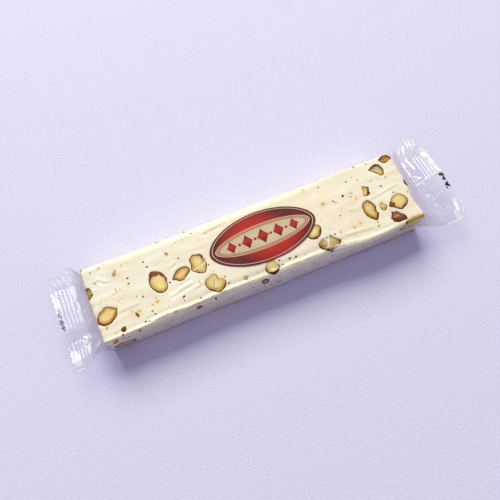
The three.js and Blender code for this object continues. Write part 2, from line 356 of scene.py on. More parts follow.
class Board:
    """A node tree, with short ways to lay out and join its nodes."""

    def __init__(self, tree: Tree) -> None:
        """Keeps the tree."""
        self.tree = tree

    def feed(self, socket: Socket, value: Input) -> None:
        """Links an input to an output, or sets it.

        Args:
            socket: The input.
            value: The output to link, or a number, vector or colour.
        """
        if isinstance(value, bpy.types.NodeSocket):
            self.tree.links.new(value, socket)
        elif socket.type == "RGBA":
            socket.default_value = (*value[:3], 1.0)
        else:
            socket.default_value = value

    def add(self, kind: str, inputs: dict | None = None, **settings: object) -> bpy.types.Node:
        """Adds a node.

        Args:
            kind: Its type's name.
            inputs: What goes into its inputs, by name or number.
            settings: Its own settings.

        Returns:
            The node.
        """
        node = self.tree.nodes.new(kind)
        for name, value in settings.items():
            setattr(node, name, value)
        for key, value in (inputs or {}).items():
            self.feed(node.inputs[key], value)
        return node

    def math(self, operation: str, *values: Input) -> Socket:
        """Works out a number from one to three values."""
        return self.add("ShaderNodeMath", dict(enumerate(values)), operation=operation).outputs[0]

    def step(self, value: Input, low: Input, high: Input) -> Socket:
        """Rises smoothly from 0 where the value is at low to 1 at high."""
        inputs = {"Value": value, "From Min": low, "From Max": high}
        return self.add("ShaderNodeMapRange", inputs, interpolation_type="SMOOTHSTEP").outputs[0]

    def mix(self, share: Input, first: Input, second: Input) -> Socket:
        """Mixes two colours by the share of the second."""
        inputs = {0: share, 6: first, 7: second}
        return self.add("ShaderNodeMix", inputs, data_type="RGBA").outputs[2]

    def value(self, name: str) -> Socket:
        """Reads a value that the mesh's points carry."""
        return self.add("ShaderNodeAttribute", attribute_name=name).outputs["Fac"]

    @functools.cached_property
    def place(self) -> Socket:
        """The place on the surface, in the bar's own frame, in metres."""
        return self.add("ShaderNodeTexCoord").outputs["Object"]

    def stretched(self, along: float) -> Socket:
        """The place scaled along the bar, for marks that run that way."""
        return self.add("ShaderNodeMapping", {"Vector": self.place, "Scale": (along, 1.0, 1.0)}).outputs[0]

    def effect(self, tree: Tree, **inputs: Input) -> bpy.types.NodeOutputs:
        """Places a shared effect and gives its outputs; its Place is the surface's own unless given."""
        return self.add("ShaderNodeGroup", {"Place": self.place, **inputs}, node_tree=tree).outputs


class Effects:
    """The effects that several finishes share, each built once as a node group."""

    @staticmethod
    def start(name: str, outputs: Sequence[str], **inputs: float) -> tuple[Board, dict, dict]:
        """Starts a group with named inputs and outputs.

        Args:
            name: The group's name.
            outputs: The outputs' names.
            inputs: The first value of each input besides Place.

        Returns:
            The group's board, its input sockets and its output sockets, by name.
        """
        tree = bpy.data.node_groups.new(name, "ShaderNodeTree")
        tree.interface.new_socket("Place", in_out="INPUT", socket_type="NodeSocketVector")
        for key, first in inputs.items():
            socket = tree.interface.new_socket(key, in_out="INPUT", socket_type="NodeSocketFloat")
            socket.default_value = first
        for key in outputs:
            tree.interface.new_socket(key, in_out="OUTPUT", socket_type="NodeSocketFloat")
        entry, leave = tree.nodes.new("NodeGroupInput"), tree.nodes.new("NodeGroupOutput")
        return Board(tree), {s.name: s for s in entry.outputs}, {s.name: s for s in leave.inputs}

    @staticmethod
    @functools.cache
    def mottle() -> Tree:
        """Soft uneven patches.

        Returns:
            The group, which puts out a mask.
        """
        board, given, made = Effects.start("mottle", ("Mask",), Scale=100.0, Low=0.4, High=0.6)
        inputs = {"Vector": given["Place"], "Scale": given["Scale"], "Detail": 3.0, "Roughness": 0.55}
        noise = board.add("ShaderNodeTexNoise", inputs)
        board.feed(made["Mask"], board.step(noise.outputs["Fac"], given["Low"], given["High"]))
        return board.tree

    @staticmethod
    @functools.cache
    def grain() -> Tree:
        """Fine uneven grain with small pits in it.

        Returns:
            The group, which puts out a height and a mask of the pits.
        """
        board, given, made = Effects.start("grain", ("Height", "Pit"), Scale=900.0, Pits=0.5)
        inputs = {"Vector": given["Place"], "Scale": given["Scale"]}
        noise = board.add("ShaderNodeTexNoise", {**inputs, "Detail": 2.0}).outputs["Fac"]
        cells = board.add("ShaderNodeTexVoronoi", inputs).outputs
        hole, chosen = board.step(cells["Distance"], 0.16, 0.05), board.step(cells["Color"], 0.62, 0.7)
        pit = board.math("MULTIPLY", board.math("MULTIPLY", hole, chosen), given["Pits"])
        board.feed(made["Height"], board.math("SUBTRACT", noise, pit))
        board.feed(made["Pit"], pit)
        return board.tree

    @staticmethod
    @functools.cache
    def creases() -> Tree:
        """Fine sharp creases of stiff film.

        Returns:
            The group, which puts out a height.
        """
        board, given, made = Effects.start("creases", ("Height",), Scale=120.0, Sharpness=0.06)
        inputs = {"Vector": given["Place"], "Scale": given["Scale"], "Detail": 2.0, "Distortion": 0.6}
        noise = board.add("ShaderNodeTexNoise", inputs).outputs["Fac"]
        away = board.math("ABSOLUTE", board.math("SUBTRACT", noise, 0.5))
        crest = board.step(away, given["Sharpness"], 0.0)
        board.feed(made["Height"], board.math("MULTIPLY_ADD", crest, 0.6, noise))
        return board.tree

    @staticmethod
    @functools.cache
    def ink_wear() -> Tree:
        """The uneven lay of ink on film.

        Returns:
            The group, which puts out a mask of thin places and a fine height.
        """
        board, given, made = Effects.start("ink_wear", ("Thin", "Height"), Amount=0.2)
        inputs = {"Vector": given["Place"], "Detail": 2.0}
        fine = board.add("ShaderNodeTexNoise", {**inputs, "Scale": 1500.0}).outputs["Fac"]
        broad = board.add("ShaderNodeTexNoise", {**inputs, "Scale": 160.0}).outputs["Fac"]
        thin = board.step(board.math("MULTIPLY", fine, broad), 0.22, 0.4)
        board.feed(made["Thin"], board.math("MULTIPLY", thin, given["Amount"]))
        board.feed(made["Height"], fine)
        return board.tree


class Finish:
    """A material in the making: its board, and the Principled shader that ends it."""

    def __init__(self, name: str, plain: dict[str, Input]) -> None:
        """Starts the material.

        Args:
            name: The material's name.
            plain: What is the same all over, set on the shader's own sockets.
        """
        self.material = bpy.data.materials.new(name)
        self.material.use_nodes = True
        self.board = Board(self.material.node_tree)
        self.board.tree.nodes.clear()
        self.shader = self.board.add("ShaderNodeBsdfPrincipled", plain)
        self.end = self.board.add("ShaderNodeOutputMaterial", {"Surface": self.shader.outputs[0]})

    def relief(self, height: Socket, depth: float, strength: float) -> None:
        """Bumps the surface by a height from 0 to 1, whose 1 measures depth metres."""
        bump = self.board.add("ShaderNodeBump", {"Height": height, "Distance": depth, "Strength": strength})
        self.board.feed(self.shader.inputs["Normal"], bump.outputs[0])

    def paint(self, colour: Input, roughness: Input) -> None:
        """Feeds the base colour and the roughness."""
        self.board.feed(self.shader.inputs["Base Color"], colour)
        self.board.feed(self.shader.inputs["Roughness"], roughness)


# ---- finishes


@dataclass(frozen=True)
class NougatFinish:
    """Soft, waxy, off-white nougat, warmer where nut oil has stained it."""

    cream: Colour = srgb(252, 241, 208)
    light: Colour = srgb(254, 247, 221)
    warm: Colour = srgb(245, 228, 188)
    stain: Colour = srgb(240, 200, 118)
    speck_and_pit_shade: Colour = srgb(205, 172, 116)

    def material(self) -> Material:
        """Builds the finish.

        Returns:
            The material.
        """
        soft = {"Subsurface Weight": 0.12, "Subsurface Scale": 0.0012}
        made = Finish("nougat", {**soft, "IOR": 1.45, "Specular IOR Level": 0.25})
        board = made.board
        broad = board.effect(Effects.mottle(), Scale=55.0, Low=0.35, High=0.65)
        drawn = board.stretched(0.25)
        streak = board.effect(Effects.mottle(), Place=drawn, Scale=420.0, Low=0.4, High=0.7)
        colour = board.mix(broad["Mask"], self.cream, self.light)
        warmth = board.math("MULTIPLY", streak["Mask"], 0.35)
        colour = board.mix(warmth, colour, self.warm)
        grain = board.effect(Effects.grain(), Scale=700.0, Pits=0.8)
        # darker at the pits: tan flecks, with painted shade in the pits
        colour = board.mix(board.math("MULTIPLY", grain["Pit"], 0.5), colour, self.speck_and_pit_shade)
        colour = board.mix(board.value("stain"), colour, self.stain)
        made.paint(colour, board.math("MULTIPLY_ADD", streak["Mask"], -0.12, 0.62))
        made.relief(grain["Height"], 0.00008, 0.7)
        return made.material


class Tone(Enum):
    """How the cut face of an almond looks."""

    AMBER = "amber"
    PALE = "pale"
    # flesh painted paler and greyer for the film's glare over it
    GREYED = "greyed"
    SKIN = "skin"
    RUSTY = "rusty"


@dataclass(frozen=True)
class AlmondFinish:
    """Cut almond: flesh in the middle, brown skin round it, a line where its halves meet."""

    tone: Tone
    flesh: Colour
    dark: Colour
    skin: Colour = srgb(150, 88, 24)
    edge: Colour = srgb(82, 40, 6)
    line: Colour = srgb(166, 124, 46)
    lit: Colour = srgb(252, 240, 204)

    def material(self) -> Material:
        """Builds the finish.

        Returns:
            The material.
        """
        made = Finish(f"almond_{self.tone.value}", {"IOR": 1.45, "Specular IOR Level": 0.15})
        board = made.board
        patch = board.effect(Effects.mottle(), Scale=260.0, Low=0.38, High=0.64)
        fine = board.effect(Effects.mottle(), Scale=1100.0, Low=0.35, High=0.7)
        depth, width = board.value("skin_depth"), board.value("skin_width")
        near = board.step(depth, 2.2, 0.35)
        shade = board.math("MULTIPLY_ADD", patch["Mask"], 0.3, board.math("MULTIPLY", near, 0.95))
        flesh = board.mix(board.math("MINIMUM", shade, 1.0), self.flesh, self.dark)
        split = board.value("split")
        beside = board.math("ABSOLUTE", board.math("ADD", split, 0.3))
        flesh = board.mix(board.step(beside, 0.32, 0.1), flesh, self.lit)
        flesh = board.mix(board.step(board.math("ABSOLUTE", split), 0.2, 0.04), flesh, self.line)
        ragged = board.math("MULTIPLY_ADD", fine["Mask"], 0.16, depth)
        in_skin = board.step(board.math("DIVIDE", ragged, width), 1.15, 0.8)
        skin = board.mix(fine["Mask"], self.skin, self.edge)
        # darkest brown at the outline: the skin's own edge, with painted shade of the crevice round the
        # almond
        skin = board.mix(board.step(depth, 0.25, 0.06), skin, self.edge)
        colour = board.mix(in_skin, flesh, skin)
        made.paint(colour, board.math("MULTIPLY_ADD", in_skin, 0.15, 0.5))
        grain = board.effect(Effects.grain(), Scale=1200.0, Pits=0.2)
        made.relief(grain["Height"], 0.00012, 0.8)
        return made.material


@dataclass(frozen=True)
class FleckFinish:
    """A dry finish in one tint, darker in patches, with a fine grain: small crumbs, or the floor."""

    name: str
    tint: Colour
    dark: Colour
    roughness: float = 0.6
    ior: float = 1.45
    shine: float = 0.15
    patches: Triple = (900.0, 0.35, 0.65)
    grain: Pair = (1500.0, 0.3)
    depth: float = 0.0001

    def material(self) -> Material:
        """Builds the finish.

        Returns:
            The material.
        """
        made = Finish(self.name, {"IOR": self.ior, "Specular IOR Level": self.shine})
        board = made.board
        scale, low, high = self.patches
        patch = board.effect(Effects.mottle(), Scale=scale, Low=low, High=high)
        made.paint(board.mix(patch["Mask"], self.tint, self.dark), self.roughness)
        scale, pits = self.grain
        grain = board.effect(Effects.grain(), Scale=scale, Pits=pits)
        made.relief(grain["Height"], self.depth, 0.7)
        return made.material


@dataclass(frozen=True)
class FilmFinish:
    """Clear glossy packaging film: mostly see-through, a little hazy, mirroring its lamps.

    Only its outward faces shine, and rays that only carry light to other things pass through. Its pale
    diffuse layer also carries painted highlights.
    """

    name: str
    haze: float
    crease_scale: float
    crease_depth: float
    passing: Colour = (1.0, 1.0, 1.0)
    through: Colour = (1.0, 1.0, 1.0)
    tint: Colour = srgb(255, 253, 252)
    straight_on: float = 0.06
    gloss: float = 0.2

    def material(self) -> Material:
        """Builds the finish.

        Returns:
            The material.
        """
        made = Finish(self.name, {"Base Color": self.tint, "Roughness": 0.35})
        board = made.board
        place = board.stretched(0.55)
        crease = board.effect(Effects.creases(), Place=place, Scale=self.crease_scale)
        made.relief(crease["Height"], self.crease_depth, 0.5)
        normal = made.shader.inputs["Normal"].links[0].from_socket
        path = board.add("ShaderNodeLightPath").outputs
        carrying = board.math("MAXIMUM", path["Is Shadow Ray"], path["Is Diffuse Ray"])
        seen = board.math("SUBTRACT", 1.0, carrying)
        outside = board.math("SUBTRACT", 1.0, board.add("ShaderNodeNewGeometry").outputs["Backfacing"])
        shown = board.math("MULTIPLY", seen, outside)
        looked = board.mix(outside, (1.0, 1.0, 1.0), self.through)
        clear = board.add("ShaderNodeBsdfTransparent", {"Color": board.mix(seen, self.passing, looked)})
        # pale diffuse layer: the film's own cloudiness, with the painted highlights that the mesh carries
        share = board.math("MULTIPLY", board.math("ADD", board.value("haze"), self.haze), shown)
        body = board.add("ShaderNodeMixShader", {0: share, 1: clear.outputs[0], 2: made.shader.outputs[0]})
        shine = board.add("ShaderNodeBsdfGlossy", {"Roughness": self.gloss, "Normal": normal})
        facing = board.add("ShaderNodeLayerWeight", {"Blend": 0.5, "Normal": normal}).outputs["Facing"]
        glance = board.math("POWER", board.math("MINIMUM", facing, 0.75), 5.0)
        mirror = board.math("MULTIPLY_ADD", glance, 1 - self.straight_on, self.straight_on)
        mirror = board.math("MULTIPLY", mirror, board.math("SUBTRACT", 1.0, board.value("matte")))
        both = {0: board.math("MULTIPLY", mirror, shown), 1: body.outputs[0], 2: shine.outputs[0]}
        whole = board.add("ShaderNodeMixShader", both)
        board.feed(made.end.inputs["Surface"], whole.outputs[0])
        return made.material


@dataclass(frozen=True)
class InkFinish:
    """Ink printed on film, which runs from one tint to another by the value that it carries."""

    name: str
    near: Colour
    far: Colour
    thin: Colour
    wear: float = 0.25

    def material(self) -> Material:
        """Builds the finish.

        Returns:
            The material.
        """
        made = Finish(self.name, {"Coat Weight": 0.3, "Coat Roughness": 0.05, "Specular IOR Level": 0.12})
        board = made.board
        worn = board.effect(Effects.ink_wear(), Amount=self.wear)
        colour = board.mix(board.value("tint"), self.near, self.far)
        colour = board.mix(worn["Thin"], colour, self.thin)
        made.paint(colour, board.math("MULTIPLY_ADD", worn["Thin"], 0.4, 0.5))
        made.relief(worn["Height"], 0.00002, 0.5)
        return made.material


# ---- the block


@dataclass(frozen=True)
class Ridge:
    """A soft ridge along a straight run over a surface, in millimetres, with a painted shine that stands in
    for its glint.
    """

    start: Pair
    end: Pair
    rise: float = 0.0
    spread: float = 0.5
    # share of painted highlight where the ridge glints
    white: float = 0.0

    def share(self, x: Array, y: Array) -> Array:
        """How much of the ridge lies at each place, from 0 to 1.

        Args:
            x: Places along the bar.
            y: Places across it.

        Returns:
            The shares.
        """
        run = np.array(self.end) - self.start
        spots = np.stack([x, y], axis=1) - self.start
        passed = np.clip(spots @ run / max(run @ run, 1e-9), 0, 1)
        return hump(np.linalg.norm(spots - passed[:, None] * run, axis=1), 0, self.spread)


def chain(*corners: Pair, **looks: float) -> list[Ridge]:
    """Ridges from corner to corner, all with the same looks."""
    return [Ridge(start, end, **looks) for start, end in itertools.pairwise(corners)]


def ridges(*rows: tuple[float, ...]) -> list[Ridge]:
    """Ridges from rows of where each starts and ends, its rise, its spread and, if it shines, its painted
    shine.
    """
    return [Ridge(row[:2], row[2:4], *row[4:]) for row in rows]


@dataclass(frozen=True)
class BarForm:
    """The cut block's size and its slow unevenness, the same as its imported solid's.

    A wave is a part of the size that it changes, a run along the block and a start.
    """

    length: float = 150.0
    width: float = 34.6
    height: float = 17.0
    edge_radius: float = 1.6
    width_waves: Curve = ((0.012, 145, 0.4), (0.006, 60, 2))
    height_waves: Curve = ((0.012, 195, 1.2), (0.006, 75, 0))
    height_twist: float = 1 / 15
    end_wave: float = 0.0018
    end_wave_across: float = 44.0
    end_wave_up: float = 38.0
    top_flare: float = 0.045
    bevel_line: Curve = ((-72, -58, 20, 34, 50), (15.6, 14.4, 14.5, 15.2, 18.5))
    bevel_slope: float = 0.28
    bulge: float = 1.2
    flare: float = 0.9
    dent: float = 1.0
    lip_line: Curve = (
        (-75, -60, -50, -33, -16, -4, 35, 42, 60, 75),
        (-17.2, -16.9, -16.1, -15.9, -15.6, -15.7, -15.8, -16, -16.5, -16.8),
    )
    lip_height: Curve = (
        (-75, -60, -50, -38, -20, 34, 42, 54, 59, 75),
        (0.2, 0.28, 0.5, 0.6, 0.4, 0.45, 0.22, 0.12, 0, 0),
    )

    FOLDS = (
        *ridges(
            (-39.5, 3.4, -36.5, 4.6, 0.2, 0.7), (-37, -5, -33, -4.2, 0.2, 0.6),
            (-38.5, -7.9, -33.5, -7.1, 0.24, 0.7), (-42.5, -9.1, -39, -8.4, 0.2, 0.6),
            (-32, -9.6, -29, -8.8, 0.22, 0.6), (-67, -6.9, -57, -6.5, 0.14, 0.9),
            (-65.5, 1.6, -62.5, 2.1, 0.2, 0.6), (-72, 6, -74, 0, 0.24, 0.8),
            (-71.5, 0, -71.5, -2.3, 0.3, 0.6), (-69.5, 10, -67, 8, 0.3, 0.6),
        ),
        *chain((56, -0.9), (63.5, 0.3), (70, 1.3), rise=0.18, spread=0.6),
        *ridges((-20, 13.2, -12, 14, 0.16, 0.8), (38, -12.6, 50, -13.8, 0.2, 0.7)),
    )

    def soften(self, points: Array) -> Array:
        """Moves points of the plain block by its slow waves.

        Args:
            points: Points in the plain block.

        Returns:
            The same points in the uneven block.
        """
        x, y, z = points.T
        turn = 2 * np.pi
        wide = 1 + sum(part * np.sin(turn * x / run + start) for part, run, start in self.width_waves)
        wide = wide + self.top_flare * (z / self.height) ** 2
        twist = self.height_twist * y
        waves = self.height_waves
        high = 1 + sum(part * np.sin(turn * x / run + start + twist) for part, run, start in waves)
        ends = np.sin(turn * y / self.end_wave_across + 1) + np.sin(turn * z / self.end_wave_up)
        return np.stack([x * (1 + self.end_wave * ends), y * wide, z * high], axis=1)

    def refine(self, points: Array) -> Array:
        """Adds the edges' finer form: a bevel behind, a bulge in front and uneven ends.

        Args:
            points: Points of the softened block or the film.

        Returns:
            The moved points.
        """
        x, y, z = points.T
        high = ease(z, 8, self.height - 1.6)
        line = np.interp(x, *self.bevel_line) + 0.2 * np.sin(x / 3.1) * np.sin(x / 7.7)
        drop = self.bevel_slope * np.maximum(y - line, 0) * high
        bulge = self.bulge * hump(x, 47, 13) * ease(z, 9, 15) * ease(y, -14, -17)
        flare = self.flare * high * ease(x, -68, -75)
        dent = self.dent * hump(y, -8, 5) * high * ease(x, 66, 74)
        return np.stack([x - flare - dent, y - bulge, z - drop + self.crests(points)], axis=1)

    def crests(self, points: Array) -> Array:
        """How far the knife's crest at the front edge and the folds of the top stand out.

        Args:
            points: Points of the softened block or the film.

        Returns:
            Millimetres, 0 away from the top.
        """
        x, y, z = points.T
        above = ease(z, self.height - 1.5, self.height - 0.4)
        wander = 0.3 * Lattice(29).at(points * (1, 0, 0), 6)
        away = y - np.interp(x, *self.lip_line) - wander
        rough = 1 + 0.6 * Lattice(30).at(points * (1, 0, 0), 1.9)
        lip = np.interp(x, *self.lip_height) * (rough * hump(away, 0, 0.55) - 0.5 * hump(away, 1.5, 1.0))
        folds = sum(f.rise * (f.share(x, y) - 0.8 * f.share(x, y + 1.3 * f.spread)) for f in self.FOLDS)
        groove = -0.3 * hump(away, 0.6, 0.6) * ease(x, 34, 40) * ease(x, 62, 56)
        return above * (lip + folds + groove)


class Face(Enum):
    """A face of the block: a point on it, and its directions along and across."""

    TOP = ((0, 0, 1), (1, 0, 0), (0, 1, 0))
    UNDER = ((0, 0, 0), (1, 0, 0), (0, -1, 0))
    FRONT = ((0, -0.5, 0), (1, 0, 0), (0, 0, 1))
    BACK = ((0, 0.5, 0), (-1, 0, 0), (0, 0, 1))
    LEFT = ((-0.5, 0, 0), (0, -1, 0), (0, 0, 1))
    RIGHT = ((0.5, 0, 0), (0, 1, 0), (0, 0, 1))

    def axes(self) -> Array:
        """The directions along, across and out of the face, as rows."""
        along, across = (np.array(row, float) for row in self.value[1:])
        return np.stack([along, across, np.cross(along, across)])

    def point(self, form: BarForm, along: float, across: float) -> Array:
        """A place on this face of the plain block."""
        start = np.array(self.value[0], float) * (form.length, form.width, form.height)
        return start + np.array([along, across, 0]) @ self.axes()


def closed_curve(corners: Sequence[float], steps: int = 5) -> Array:
    """A smooth closed curve through corner points.

    Args:
        corners: The points' two numbers, point by point.
        steps: Points of the curve from each corner to the next.

    Returns:
        The curve's points.
    """
    p1 = np.array(corners, float).reshape(-1, 2)
    p0, p2, p3 = (np.roll(p1, shift, axis=0) for shift in (1, -1, -2))
    t = np.linspace(0, 1, steps, endpoint=False)[:, None, None]
    cubic = 3 * (p1 - p2) + p3 - p0
    square = 2 * p0 - 5 * p1 + 4 * p2 - p3
    curve = p1 + 0.5 * t * (p2 - p0 + t * (square + t * cubic))
    return curve.transpose(1, 0, 2).reshape(-1, 2)


@dataclass(frozen=True)
class Almond:
    """One almond that a face of the block cuts through.

    Its cut runs through its corners, given as places along and across in turn, or is a lumpy
    oval where it has none. A flap is a direction, a spread and how much wider the skin is there.
    The split between its halves is a line's turn, offset and half length.
    """

    face: Face
    along: float
    across: float
    length: float
    width: float
    tone: Tone
    turn: float = 0.0
    depth: float = 0.0
    corners: tuple[float, ...] = ()
    skin: float = 0.55
    flaps: Curve = ()
    split: Triple = (0.0, 0.0, 0.0)

    SINK = 0.3
    TAPER = 0.22
    LUMPS = 0.06
    DEPTH = 0.8
    ROUGH = 0.045
    SIDES = 88
    RINGS = 20

    @functools.cached_property
    def half_depth(self) -> float:
        """Half the size that the almond has into the block."""
        return (self.depth or self.DEPTH * self.width) / 2

    @functools.cached_property
    def rim(self) -> Array:
        """The outline of the cut about the almond's middle, along and across the face.

        Returns:
            Its points.
        """
        if self.corners:
            return closed_curve(self.corners) - (self.along, self.across)
        angle = np.linspace(0, 2 * np.pi, 72, endpoint=False)
        x, y = np.cos(angle), np.sin(angle)
        lump = 1 + self.LUMPS * np.sin(3 * angle + self.along + self.across) * (1 - x * x)
        across = y * self.width / 2 * (1 - self.TAPER * x * np.abs(x)) * lump
        return turned(np.stack([x * self.length / 2, across], axis=1), self.turn)

    @functools.cached_property
    def polar(self) -> tuple[Array, Array]:
        """The rim as directions and distances.

        Returns:
            The directions, rising over three turns, and how far the rim lies in each.
        """
        angle = np.arctan2(self.rim[:, 1], self.rim[:, 0])
        order = np.argsort(angle)
        angle, reach = angle[order], np.linalg.norm(self.rim, axis=1)[order]
        return np.concatenate([angle - 2 * np.pi, angle, angle + 2 * np.pi]), np.tile(reach, 3)

    def centre(self, form: BarForm) -> Array:
        """Its middle, sunk below the face."""
        start = self.face.point(form, self.along, self.across)
        return start - self.SINK * self.half_depth * self.face.axes()[2]

    def body(self, form: BarForm, margin: float = 0.0) -> Skin:
        """The whole almond, before the cut.

        Args:
            form: The block.
            margin: How much larger it is all round.

        Returns:
            Its closed skin.
        """
        turn = np.linspace(-np.pi, np.pi, self.SIDES, endpoint=False)
        tilt = np.linspace(0, np.pi, self.RINGS + 1)[1:-1]
        tilts, turns = np.meshgrid(tilt, turn, indexing="ij")
        equator = np.interp(turns, *self.polar) / math.sqrt(1 - self.SINK**2)
        place = np.stack([equator * np.cos(turns), equator * np.sin(turns), tilts * 2], axis=-1)
        place = place.reshape(-1, 3)
        ragged = Lattice(5).at(place + self.along, 0.8) + 0.5 * Lattice(6).at(place + self.across, 1.9)
        reach = equator + (self.ROUGH * ragged * 3).reshape(equator.shape) + margin
        flat = np.sin(tilts) * reach
        depth = (self.half_depth + margin) * np.cos(tilts)
        rows = np.stack([flat * np.cos(turns), flat * np.sin(turns), depth], axis=-1).reshape(-1, 3)
        ends = np.array([[0, 0, 1], [0, 0, -1]]) * (self.half_depth + margin)
        points = self.centre(form) + np.concatenate([rows, ends]) @ self.face.axes()
        return Skin(form.soften(points), ball_faces(self.RINGS - 1, self.SIDES))

    def depth_at(self, form: BarForm, points: Array) -> tuple[Array, Array]:
        """How deep points lie under the almond's skin.

        Args:
            form: The block.
            points: Points in or near the almond.

        Returns:
            The depth, below 0 outside, and the points about its middle.
        """
        local = (points - self.centre(form)) @ self.face.axes().T
        level = np.clip(local[:, 2] / self.half_depth, -0.95, 0.95)
        size = np.sqrt((1 - level**2) / (1 - self.SINK**2))
        flat = local[:, :2] / size[:, None]
        near = np.full(len(flat), np.inf)
        for start, end in zip(self.rim, np.roll(self.rim, -1, axis=0)):
            way = end - start
            share = np.clip((flat - start) @ way / max(way @ way, 1e-9), 0, 1)
            near = np.minimum(near, np.linalg.norm(flat - start - share[:, None] * way, axis=1))
        inside = np.linalg.norm(flat, axis=1) < np.interp(np.arctan2(flat[:, 1], flat[:, 0]), *self.polar)
        return np.where(inside, near, -near) * size, local

    def carried(self, form: BarForm, points: Array) -> dict[str, Array]:
        """The values that the finish reads.

        Args:
            form: The block.
            points: Points of the cut almond.

        Returns:
            Depth under the skin, the skin's width and the distance to the split.
        """
        depth, local = self.depth_at(form, points)
        angle = np.degrees(np.arctan2(local[:, 1], local[:, 0]))
        width = self.skin * (1 + 0.35 * Lattice(8).at(points, 1.3))
        for at, spread, amount in self.flaps:
            turn = np.degrees(np.angle(np.exp(1j * np.radians(angle - at))))
            width += amount * hump(turn, 0, spread)
        at, aside, half_length = self.split
        along, across = turned(local[:, :2], -at).T
        across = across - aside + 0.2 * Lattice(9).at(points, 2.5)
        beyond = np.maximum(np.abs(along) - half_length, 0)
        return {"skin_depth": depth, "skin_width": width, "split": across + np.sign(across) * beyond}


class Minimal:
    """The repeatable draw that spreads the almonds on the faces away from the eye."""

    FACTOR = 16807
    RANGE = 2147483647

    def __init__(self, seed: int) -> None:
        """Starts the draw."""
        self.state = seed

    def draw(self) -> float:
        """The next number between 0 and 1."""
        self.state = self.state * self.FACTOR % self.RANGE
        return self.state / self.RANGE


